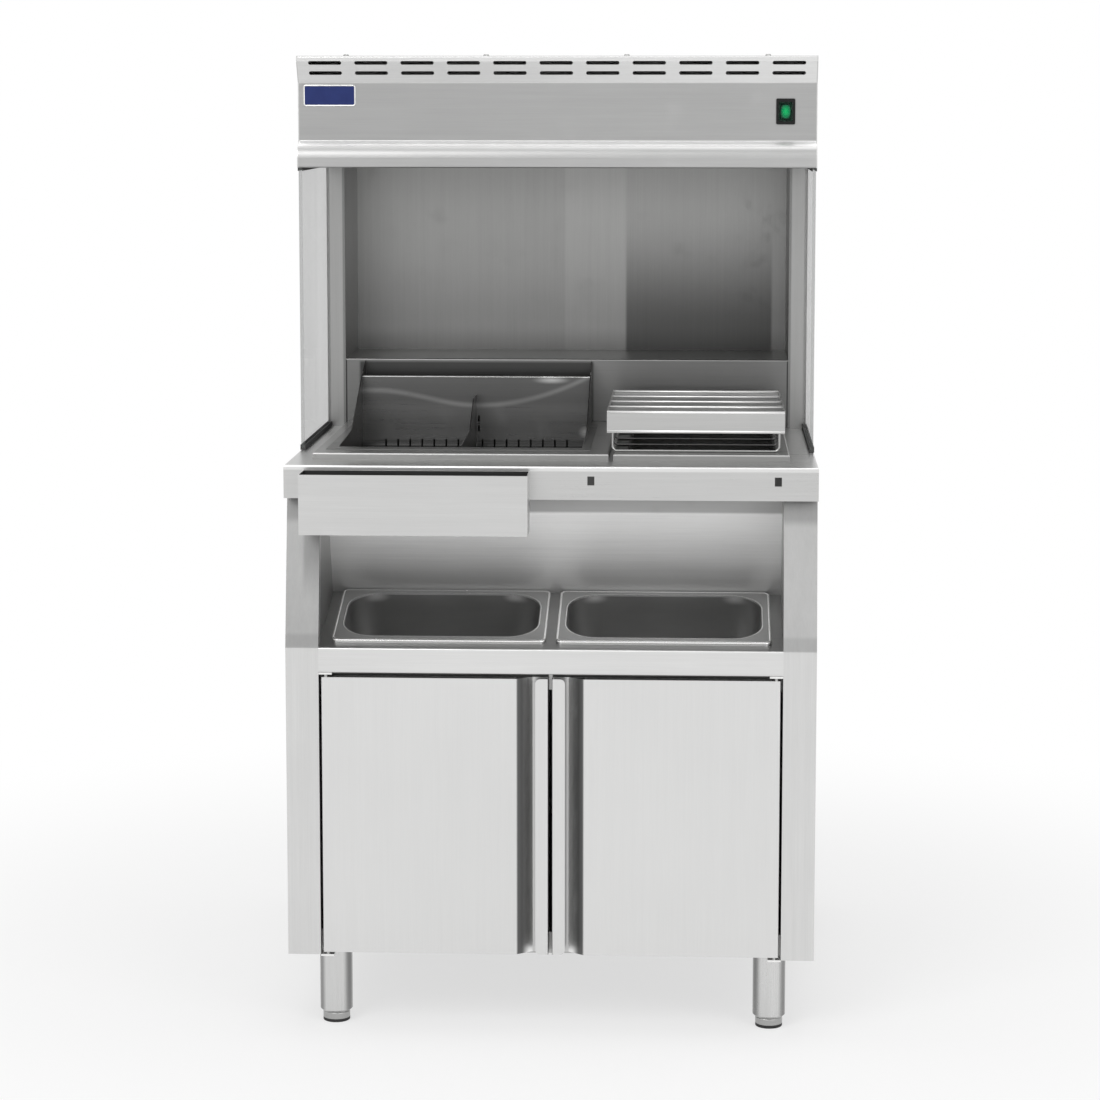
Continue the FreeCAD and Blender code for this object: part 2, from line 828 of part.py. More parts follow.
def strainer():
    # A perforated false floor on four short feet
    x0, x1 = scuttle_left + strainer_margin, scuttle_right - strainer_margin
    d0 = scuttle_floor_front + strainer_margin
    d1 = scuttle_back - scuttle_slot_run - strainer_margin
    z0 = scuttle_floor + strainer_foot_height
    plate = block(x0, x1, d0, d1, z0, z0 + strainer_thickness)
    feet = []
    for x in (x0 + strainer_margin, x1 - strainer_margin):
        for d in (d0 + strainer_margin, d1 - strainer_margin):
            feet.append(cylinder(strainer_foot_radius, at(x, d, scuttle_floor), Vector(0, 0, 1),
                                 strainer_foot_height))
    holes = []
    for i in range(strainer_columns):
        for j in range(strainer_rows):
            x = x0 + (x1 - x0) * (i + 1) / (strainer_columns + 1)
            d = d0 + (d1 - d0) * (j + 1) / (strainer_rows + 1)
            holes.append(cylinder(strainer_hole_radius, at(x, d, z0 - overrun),
                                  Vector(0, 0, 1), strainer_thickness + overrun * 2))
    return joined([plate] + feet).cut(Part.makeCompound(holes))


def rack():
    # Upright cross plates with turned-over tops, between two side plates
    back = rack_front + rack_pitch * (rack_plates - 1)
    shapes = []
    for i in range(rack_plates):
        d = rack_front + i * rack_pitch
        shapes.append(block(rack_left, rack_right, d, d + rack_plate, rack_bottom, rack_top))
        shapes.append(block(rack_left, rack_right, d, d + rack_hem, rack_top - rack_hem_height,
                            rack_top))
        shapes.append(block(rack_left, rack_right, d, d + rack_hem, rack_bottom,
                            rack_bottom + rack_hem_height))
    for x in (rack_left, rack_right - rack_plate):
        shapes.append(block(x, x + rack_plate, rack_front, back, rack_bottom, rack_top))
    return joined(shapes)


def rack_wires():
    # A wire stirrup behind each plate stands the rack on its deck
    wires = []
    z = deck_top + rack_wire_radius
    x0, x1 = rack_left + rack_plate + rack_wire_inset, rack_right - rack_plate - rack_wire_inset
    for i in range(rack_plates):
        d = rack_front + i * rack_pitch + rack_hem + rack_wire_radius
        points = [at(x0, d, rack_top - rack_hem_height), at(x0, d, z), at(x1, d, z),
                  at(x1, d, rack_top - rack_hem_height)]
        wires.append(bent_wire(points, rack_wire_bend, rack_wire_radius))
    return wires


# Posts, glass and back

def post():
    shell = block(-inner_half, -inner_half + post_width, deck_back, post_back, worktop_height,
                  hood_base_height)
    hollow = block(-inner_half + sheet, -inner_half + post_width - sheet, deck_back + sheet,
                   post_back - sheet, worktop_height - overrun, hood_base_height + overrun)
    return shell.cut(hollow)


def post_inner():
    return inner_half - post_width


def rear_ledge():
    line = [(back_panel_depth, ledge_height), (ledge_front, ledge_height),
            (ledge_front, worktop_height)]
    outline, radii = fold(line, sheet, [bend_radius])
    return across(outline, -post_inner(), post_inner(), radii)


def back_panel():
    return block(-post_inner(), post_inner(), back_panel_depth, back_panel_depth + sheet,
                 worktop_height, hood_base_height)


def rear_cover():
    cover = block(-inner_half, inner_half, post_back, post_back + sheet, worktop_height,
                  total_height - sheet)
    z = worktop_height + gland_above_top
    hole = cylinder(gland_radius, at(gland_x, post_back - overrun, z), Vector(0, 1, 0),
                    overrun * 2 + sheet)
    return cover.cut(hole)


def glass_left_x():
    return -half_width + (channel_width - glass_thickness) / 2


def glass():
    x = glass_left_x()
    return block(x, x + glass_thickness, glass_front, deck_back, worktop_height + channel_floor,
                 hood_base_height - channel_floor)


def channel(z0, z1):
    # A grooved edge strip that holds the glass
    strip = block(-half_width, -half_width + channel_width, glass_front, deck_back, z0, z1)
    return strip.cut(glass())


# Hood

def hood_line():
    # The outer face from the back of the roof, over the brow and down to the lip
    out = hood_front + hood_recess
    return [(post_back + sheet, total_height), (hood_front, total_height),
            (hood_front, total_height - hood_brow_height), (out, hood_strip_bottom),
            (out, hood_lip_top), (hood_front, hood_lip_top - hood_lip_knee),
            (hood_front, hood_bottom), (hood_front + hood_lip_return, hood_bottom)]


def hood_shell():
    bends = [bend_radius, bend_radius, bend_radius, bend_radius, hood_lip_radius, bend_radius]
    outline, radii = fold(hood_line(), sheet, bends)
    shell = across(outline, -inner_half, inner_half, radii)
    pitch = (width - vent_margin * 2) / (vent_columns - 1)
    for i in range(vent_columns):
        x = (i - (vent_columns - 1) / 2) * pitch
        for drop in (vent_upper_drop, vent_lower_drop):
            z = total_height - drop
            slot = inward(rectangle(x - vent_length / 2, x + vent_length / 2,
                                    z - vent_height / 2, z + vent_height / 2),
                          hood_front - overrun, hood_front + hood_recess + overrun,
                          [vent_height / 2 - hair] * 4)
            shell = shell.cut(slot)
    x0, x1, z0, z1 = switch_window(0)
    shell = shell.cut(block(x0, x1, hood_front, hood_front + hood_recess + overrun, z0, z1))
    return shell


def hood_end():
    line = hood_line()
    radii = [0, 0, 0, 0, 0, hood_lip_radius, 0, 0]
    base = [(hood_front + hood_lip_return, hood_base_height), (post_back + sheet,
                                                                hood_base_height)]
    return across(line + base, -half_width, -inner_half, radii + [0, 0])


def hood_base():
    panel = block(-inner_half, inner_half, hood_front + sheet, post_back, hood_base_height,
                  hood_base_height + sheet)
    half = heater_opening_length / 2
    return panel.cut(block(-half, half, heater_opening_front, heater_opening_back,
                           hood_base_height - overrun, hood_base_height + overrun))


def reflector():
    # A trough over the heater opening
    half = heater_opening_length / 2
    low = hood_base_height + sheet
    line = [(heater_opening_front, low),
            (heater_opening_front + reflector_slope, low + reflector_height),
            (heater_opening_back - reflector_slope, low + reflector_height),
            (heater_opening_back, low)]
    outline, radii = fold(line, sheet, [bend_radius] * 2)
    return across(outline, -half + holder_length, half - holder_length, radii)


def tube_places():
    middle = (heater_opening_front + heater_opening_back) / 2
    z = hood_base_height + sheet + tube_drop
    return [(middle - tube_spread / 2, z), (middle + tube_spread / 2, z)]


def heater_tube(place):
    d, z = place
    half = heater_opening_length / 2 - holder_length
    return cylinder(tube_radius, at(-half, d, z), Vector(1, 0, 0), half * 2)


def tube_holder():
    # A ceramic block that grips both tube ends, standing on the base at the opening's end
    half = heater_opening_length / 2
    (d0, z), (d1, _) = tube_places()
    foot_block = block(-half - holder_length, -half + holder_length, d0 - holder_margin,
                       d1 + holder_margin, hood_base_height + sheet, z + holder_margin)
    over_hole = block(-half, -half + holder_length, d0 - holder_margin, d1 + holder_margin,
                      hood_base_height + sheet, z - holder_margin)
    return foot_block.cut(over_hole)


def guard():
    # Crossed wires below the heater opening, welded where they cross
    half = heater_opening_length / 2 + holder_length
    z = hood_base_height - guard_wire_radius
    d0, d1 = heater_opening_front - holder_length, heater_opening_back + holder_length
    shapes = []
    for i in range(guard_long_wires):
        d = heater_opening_front + (heater_opening_back - heater_opening_front) * i / (
            guard_long_wires - 1)
        shapes.append(cylinder(guard_wire_radius, at(-half, d, z), Vector(1, 0, 0), half * 2))
    for i in range(guard_cross_wires):
        x = -heater_opening_length / 2 + heater_opening_length * i / (guard_cross_wires - 1)
        shapes.append(cylinder(guard_wire_radius, at(x, d0, z), Vector(0, 1, 0), d1 - d0))
    return joined(shapes)


def roof_screws():
    heads = []
    first = hood_front + screw_row_margin
    pitch = (width - screw_side_margin * 2) / (screw_columns - 1)
    row_pitch = (post_back - screw_row_margin - first) / (screw_rows - 1)
    for i in range(screw_columns):
        x = (i - (screw_columns - 1) / 2) * pitch
        for j in range(screw_rows):
            base = at(x, first + j * row_pitch, total_height)
            head = cylinder(screw_head_radius, base, Vector(0, 0, 1), screw_head_height)
            heads.append(head.makeFillet(screw_head_height / 2, [head.Edges[0]]))
    return heads


# Switch and badge plate

def switch_window(margin):
    return (switch_x - switch_hole_width / 2 - margin, switch_x + switch_hole_width / 2 + margin,
            switch_z - switch_hole_height / 2 - margin, switch_z + switch_hole_height / 2 + margin)


def fascia_front():
    return hood_front + hood_recess


def switch_bezel():
    # The frame lies on the fascia, and the housing goes through it
    x0, x1 = switch_x - bezel_width / 2, switch_x + bezel_width / 2
    z0, z1 = switch_z - bezel_height / 2, switch_z + bezel_height / 2
    frame = inward(rectangle(x0, x1, z0, z1), fascia_front() - bezel_proud, fascia_front(),
                   [bezel_corner] * 4)
    a, b, c, d = switch_window(0)
    box = block(a, b, fascia_front(), fascia_front() + switch_body_depth, c, d)
    a, b, c, d = switch_window(-switch_body_wall)
    hollow = block(a, b, fascia_front() - bezel_proud - overrun,
                   fascia_front() + switch_body_depth - switch_body_wall, c, d)
    body = joined([frame, box]).cut(hollow)
    return joined([body, rocker_axle()])


def rocker_axle():
    a, b, _, _ = switch_window(-switch_body_wall / 2)
    return cylinder(rocker_pin_radius, at(a, rocker_pivot(), switch_z), Vector(1, 0, 0), b - a)


def rocker_pivot():
    return fascia_front() + rocker_depth / 2 - bezel_proud


def rocker():
    # A key with a crowned face that tips on the axle
    front = fascia_front() - bezel_proud - rocker_crown
    back = front + rocker_depth
    x0, x1 = switch_x - rocker_width / 2, switch_x + rocker_width / 2
    low, high = switch_z - rocker_height / 2, switch_z + rocker_height / 2
    tip = front + rocker_crown
    face = [at(x0, tip, low), at(x0, front, switch_z), at(x0, tip, high)]
    edges = [Part.Arc(*face).toShape(),
             Part.LineSegment(face[2], at(x0, back, high)).toShape(),
             Part.LineSegment(at(x0, back, high), at(x0, back, low)).toShape(),
             Part.LineSegment(at(x0, back, low), face[0]).toShape()]
    key = Part.Face(Part.Wire(edges)).extrude(Vector(x1 - x0, 0, 0))
    bore = cylinder(rocker_pin_radius + running_gap, at(x0 - overrun, rocker_pivot(), switch_z),
                    Vector(1, 0, 0), rocker_width + overrun * 2)
    key = key.cut(bore)
    key.rotate(at(switch_x, rocker_pivot(), switch_z), Vector(1, 0, 0), rocker_tilt)
    return key


def switch_cap():
    # A clear splash cover over the key
    a, b, c, d = switch_window(0)
    back = fascia_front() - bezel_proud
    dome = block(a, b, back - cap_height, back, c, d)
    edges = [e for e in dome.Edges if e.BoundBox.YMin < front_y + back - hair]
    dome = dome.makeFillet(cap_round, edges)
    a, b, c, d = switch_window(-cap_wall)
    hollow = block(a, b, back - cap_height + cap_wall, back + overrun, c, d)
    edges = [e for e in hollow.Edges if e.BoundBox.YMin < front_y + back - hair]
    hollow = hollow.makeFillet(cap_round - cap_wall, edges)
    return dome.cut(hollow)


def badge_plate():
    return inward(rectangle(badge_x - badge_width / 2, badge_x + badge_width / 2,
                            badge_z - badge_height / 2, badge_z + badge_height / 2),
                  fascia_front() - badge_thickness, fascia_front(), [badge_corner] * 4)


# Services

def cable_gland():
    z = worktop_height + gland_above_top
    front = post_back - gland_nut_length
    barrel = cylinder(gland_radius, at(gland_x, front, z), Vector(0, 1, 0),
                      gland_length + gland_nut_length)
    nuts = [cylinder(gland_nut_radius, at(gland_x, d, z), Vector(0, 1, 0), gland_nut_length)
            for d in (front, post_back + sheet)]
    bore = cylinder(gland_bore, at(gland_x, front - overrun, z), Vector(0, 1, 0),
                    gland_length + gland_nut_length + overrun * 2)
    return joined([barrel] + nuts).cut(bore)


def terminal_block():
    low = hood_base_height + sheet
    return block(terminal_x - terminal_length / 2, terminal_x + terminal_length / 2,
                 terminal_depth, terminal_depth + terminal_width, low, low + terminal_height)


def legs():
    return [leg(side * leg_x, d) for d in (leg_front, leg_back) for side in (-1, 1)]


keep_pair("side_panel", side_panel())
keep_pair("niche_side", niche_side())
keep("side_rails", side_rail(), mirrored(side_rail()))
keep("pan_shelf", pan_shelf())
keep("niche_back", niche_back())
keep("cabinet_floor", cabinet_floor())
keep("cabinet_back", cabinet_back())
keep("pan_left", pan(-pan_pitch / 2))
keep("pan_right", pan(pan_pitch / 2))
keep("legs", *legs())
for end, foot_depth in (("front", leg_front), ("back", leg_back)):
    for name, side in (("left", -1), ("right", 1)):
        keep("foot_" + end + "_" + name, foot(side * leg_x, foot_depth))
keep_pair("door", door_skin())
keep_pair("door_liner", door_liner())
keep("hinge_pins_left", *hinge_pins(-1))
keep("hinge_pins_right", *hinge_pins(1))
keep("hinge_plates", *(hinge_plates(-1) + hinge_plates(1)))
keep("door_magnets", *magnets())
keep("worktop", worktop())
keep("scoop_box", scoop_box())
keep("dump_well", well(*wells()[0]))
keep("rack_well", well(*wells()[1]))
keep("dump_deck", deck(dump_deck_left, dump_deck_right,
                       (scuttle_left - scuttle_wall - clearance,
                        scuttle_right + scuttle_wall + clearance,
                        scuttle_front - scuttle_wall - bend_radius,
                        scuttle_back + scuttle_wall + clearance)))
keep("rack_deck", deck(rack_deck_left, rack_deck_right,
                       (rack_deck_left + rack_opening_margin,
                        rack_deck_right - rack_opening_margin,
                        deck_front + rack_opening_front, well_back())))
keep("dump_scuttle", scuttle())
keep("scuttle_divider", divider())
keep("strainer_plate", strainer())
keep("carton_rack", rack())
keep("rack_wires", *rack_wires())
keep_pair("post", post())
keep("rear_ledge", rear_ledge())
keep("back_panel", back_panel())
keep("rear_cover", rear_cover())
keep_pair("glass", glass())
for name, low, tall in (("glass_channels", worktop_height, channel_height),
                        ("glass_top_channels", hood_base_height - top_channel_height,
                         top_channel_height)):
    keep(name, channel(low, low + tall), mirrored(channel(low, low + tall)))
keep("hood_shell", hood_shell())
keep_pair("hood_end", hood_end())
keep("hood_base", hood_base())
keep("heat_reflector", reflector())
keep("heater_tubes", *[heater_tube(place) for place in tube_places()])
keep("tube_holders", tube_holder(), mirrored(tube_holder()))
keep("heater_guard", guard())
keep("roof_screws", *roof_screws())
keep("switch_bezel", switch_bezel())
keep("switch_rocker", rocker())
keep("switch_cap", switch_cap())
keep("badge_plate", badge_plate())
keep("cable_gland", cable_gland())
keep("terminal_block", terminal_block())
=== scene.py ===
import json
import math
import bmesh
import bpy
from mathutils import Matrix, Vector

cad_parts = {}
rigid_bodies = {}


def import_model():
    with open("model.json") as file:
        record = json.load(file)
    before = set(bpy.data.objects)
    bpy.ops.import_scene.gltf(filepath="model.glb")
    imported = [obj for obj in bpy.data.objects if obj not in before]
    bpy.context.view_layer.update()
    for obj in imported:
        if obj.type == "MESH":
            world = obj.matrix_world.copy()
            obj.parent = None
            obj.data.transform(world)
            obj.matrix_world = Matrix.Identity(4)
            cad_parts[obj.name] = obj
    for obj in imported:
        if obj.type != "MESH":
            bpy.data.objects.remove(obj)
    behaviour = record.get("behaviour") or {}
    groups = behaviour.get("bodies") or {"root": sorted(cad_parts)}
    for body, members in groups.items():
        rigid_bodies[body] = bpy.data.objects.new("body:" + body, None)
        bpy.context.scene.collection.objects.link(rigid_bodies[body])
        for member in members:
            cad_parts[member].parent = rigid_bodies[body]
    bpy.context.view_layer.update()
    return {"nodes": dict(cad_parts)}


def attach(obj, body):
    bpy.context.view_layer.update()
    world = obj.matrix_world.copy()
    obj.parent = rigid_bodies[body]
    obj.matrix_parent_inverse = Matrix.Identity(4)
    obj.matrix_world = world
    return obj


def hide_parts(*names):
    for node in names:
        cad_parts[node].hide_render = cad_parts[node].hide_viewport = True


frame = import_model()
scene = bpy.context.scene
nodes = frame["nodes"]
mm = 0.001
frontPlane = -371 * mm  # the doors' face; depths below are counted from here
pocketSoft = 2 * mm  # half the soft side of a painted pocket, where its look doesn't say
depthSoft = 8 * mm  # over which a band or a glint comes in with depth


# One output of a shader or geometry node, so that maths reads as maths
class Wire:
    def __init__(self, board, socket):
        self.board = board
        self.socket = socket

    def maths(self, operation, *others):
        return self.board.node("ShaderNodeMath", {"operation": operation},
                               dict(enumerate((self,) + others)))

    def __add__(self, other):
        return self.maths("ADD", other)

    def __sub__(self, other):
        return self.maths("SUBTRACT", other)

    def __mul__(self, other):
        return self.maths("MULTIPLY", other)

    def __truediv__(self, other):
        return self.maths("DIVIDE", other)

    def __pow__(self, other):
        return self.maths("POWER", other)

    def __rsub__(self, other):
        return self.board.node("ShaderNodeMath", {"operation": "SUBTRACT"}, {0: other, 1: self})

    def __rtruediv__(self, other):
        return self.board.node("ShaderNodeMath", {"operation": "DIVIDE"}, {0: other, 1: self})

    __radd__ = __add__
    __rmul__ = __mul__

    def abs(self):
        return self.maths("ABSOLUTE")

    def higher(self, other):
        return self.maths("MAXIMUM", other)


# A node tree with one method for every node
class Board:
    def __init__(self, tree):
        self.tree = tree

    def node(self, kind, settings=None, values=None, out=0):
        made = self.tree.nodes.new(kind)
        for key, value in (settings or {}).items():
            setattr(made, key, value)
        for key, value in (values or {}).items():
            self.set(made.inputs[key], value)
        return Wire(self, made.outputs[out]) if len(made.outputs) else made

    def set(self, socket, value):
        if isinstance(value, Wire):
            self.tree.links.new(value.socket, socket)
        elif hasattr(socket.default_value, "__len__"):
            value = (value,) * 3 if isinstance(value, (int, float)) else value
            socket.default_value = (tuple(value) + (1,))[:len(socket.default_value)]
        else:
            socket.default_value = value

    def blend(self, first, second, factor):
        return self.node("ShaderNodeMix", {"data_type": "RGBA"}, {0: factor, 6: first, 7: second}, 2)

    def shaded(self, colour, tone):
        return self.node("ShaderNodeVectorMath", {"operation": "SCALE"},
                         {0: colour, "Scale": tone})

    def ease(self, value, low, high, start=0.0, end=1.0):
        return self.node("ShaderNodeMapRange", {"interpolation_type": "SMOOTHSTEP"},
                         {"Value": value, "From Min": low, "From Max": high, "To Min": start,
                          "To Max": end})

    def noise(self, place, scale, detail=3.0, roughness=0.55):
        return self.node("ShaderNodeTexNoise", {},
                         {"Vector": place, "Scale": scale, "Detail": detail,
                          "Roughness": roughness})

    def stretched(self, place, scale, turn=(0, 0, 0)):
        return self.node("ShaderNodeMapping", {},
                         {"Vector": place, "Scale": scale, "Rotation": turn})

    def bump(self, height, strength, distance):
        return self.node("ShaderNodeBump", {},
                         {"Height": height, "Strength": strength, "Distance": distance})

    # 1 inside a box with soft sides, 0 outside; a side that is left out is open
    def boxMask(self, axes, pocket):
        soft = pocket.get("soft", pocketSoft)
        mask = None
        for axis in axes:
            low, high = pocket.get(axis, (None, None))
            for edge, start, end in ((low, 0.0, 1.0), (high, 1.0, 0.0)):
                if edge is not None:
                    side = self.ease(axes[axis], edge - soft, edge + soft, start, end)
                    mask = side if mask is None else mask * side
        if "fade" in pocket:
            axis, low, high = pocket["fade"]
            mask = mask * self.ease(axes[axis], low, high, 1.0, 0.0)
        return mask

    # 0 before a place, 1 beyond it
    def beyond(self, value, start):
        return self.ease(value, start, start + depthSoft)

    # The gain in the middle of an ellipse, 0 from its edge on
    def glow(self, across, upward, gain):
        return self.ease((across ** 2 + upward ** 2) ** 0.5, 0.0, 1.0, gain, 0.0)


# A depth given in millimetres behind the doors' face, and a point given in metres
def depthAt(depth):
    return frontPlane + depth * mm


def spot(x, depth, z):
    return Vector((x, frontPlane + depth, z))


def newMaterial(name):
    material = bpy.data.materials.new(name)
    material.use_nodes = True
    material.node_tree.nodes.clear()
    board = Board(material.node_tree)
    place = board.node("ShaderNodeTexCoord", {}, {}, "Object")
    return material, board, place


def finishMaterial(board, shader):
    board.node("ShaderNodeOutputMaterial", {}, {"Surface": shader})


def finishSurface(board, values):
    finishMaterial(board, board.node("ShaderNodeBsdfPrincipled", {}, values))


def splitAxes(board, place):
    made = board.tree.nodes.new("ShaderNodeSeparateXYZ")
    board.tree.links.new(place.socket, made.inputs[0])
    return [Wire(board, socket) for socket in made.outputs]


# Brushed sheet: fine grain and broader lines along one axis, cloudy wear and finger marks
brush = {
    "grainScales": {"x": (9, 620, 620), "y": (620, 9, 620), "z": (620, 620, 9)},
    "grainDetail": 4.0, "grainRoughness": 0.7, "lineScale": 0.22, "lineDetail": 2.0,
    "markScale": 21.0, "markDetail": 4.0, "markRoughness": 0.65, "marksFrom": 0.56, "marksTo": 0.74,
    "roughGrain": 0.14, "roughClouds": 0.1, "roughMarks": 0.06,
    "bumpGrain": 0.7, "bumpLines": 0.3, "bumpDistance": 0.3 * mm, "ior": 1.45,
}
steelDefaults = {"grainDepth": 0.16, "lineDepth": 0.1, "cloudDepth": 0.12, "cloudScale": 3.2,
                 "bump": 0.12}


# Reflections painted as shade: zones, pockets, dark sides of tubes, a wavy band and glints
def paintedTone(board, axes, tone, look):
    for axis, low, high, start, end in look.get("zones", {}).values():
        tone = tone * board.ease(axes[axis], low, high, start, end)
    for pocket in look.get("pockets", {}).values():
        tone = tone * (1 + board.boxMask(axes, pocket) * (pocket["shade"] - 1))
    if "tube" in look:
        tube = look["tube"]
        reach = (axes["x"].abs() - tube["middle"]).abs() / tube["radius"]
        tone = tone * (1 - board.ease(reach, *tube["darkening"], 0.0, tube["dark"])
                       * board.ease(reach, *tube["rim"], 1.0, tube["rimShare"]))
    if "arc" in look:
        arc = look["arc"]
        aside = axes["x"] - arc["middle"]
        curve = (arc["height"] + aside.higher(0.0) ** 2 * arc["rise"]
                 + board.ease(aside, -arc["leftReach"], 0.0, arc["leftRise"], 0.0))
        band = board.ease((axes["z"] - curve).abs(), 0.0, arc["width"], arc["gain"], 0.0)
        tone = tone * (1 + band * board.beyond(axes["y"], arc["from"]))
    for glint in look.get("glints", {}).values():
        aside = (axes["x"] - glint["middle"][0]) / glint["reach"][0]
        above = (axes["z"] - glint["middle"][1]) / glint["reach"][1]
        tone = tone * (1 + board.glow(aside, above, glint["gain"])
                       * board.beyond(axes["y"], glint["from"]))
    return tone


# Brushed steel whose tone carries its look's painted shade, painted highlights and painted
# reflections
def brushedSheet(name, look):
    look = {**steelDefaults, **look}
    material, board, place = newMaterial(name)
    axes = dict(zip("xyz", splitAxes(board, place)))
    if "lean" in look:  # depth behind a front that leans back above a height
        start, ratio = look["lean"]
        axes["lean"] = axes["y"] - (axes["z"] - start).higher(0.0) * ratio
    scales = brush["grainScales"][look["grain"]]
    grain = board.noise(board.stretched(place, scales), 1.0, brush["grainDetail"],
                        brush["grainRoughness"])
    lines = board.noise(board.stretched(place, [scale * brush["lineScale"] for scale in scales]),
                        1.0, brush["lineDetail"])
    clouds = board.noise(place, look["cloudScale"])
    marks = board.ease(board.noise(place, brush["markScale"], brush["markDetail"],
                                   brush["markRoughness"]), brush["marksFrom"], brush["marksTo"])
    tone = (grain - 0.5) * look["grainDepth"] + (lines - 0.5) * look["lineDepth"]
    tone = paintedTone(board, axes, 1 + tone + (clouds - 0.5) * look["cloudDepth"], look)
    rough = (look["rough"] + (grain - 0.5) * brush["roughGrain"]
             + (clouds - 0.5) * brush["roughClouds"] + marks * brush["roughMarks"])
    relief = grain * brush["bumpGrain"] + lines * brush["bumpLines"]
    finishSurface(board, {"Base Color": board.shaded(look["tint"], tone), "Roughness": rough,
                          "Metallic": 1.0, "IOR": brush["ior"],
                          "Normal": board.bump(relief, look["bump"], brush["bumpDistance"])})
    return material
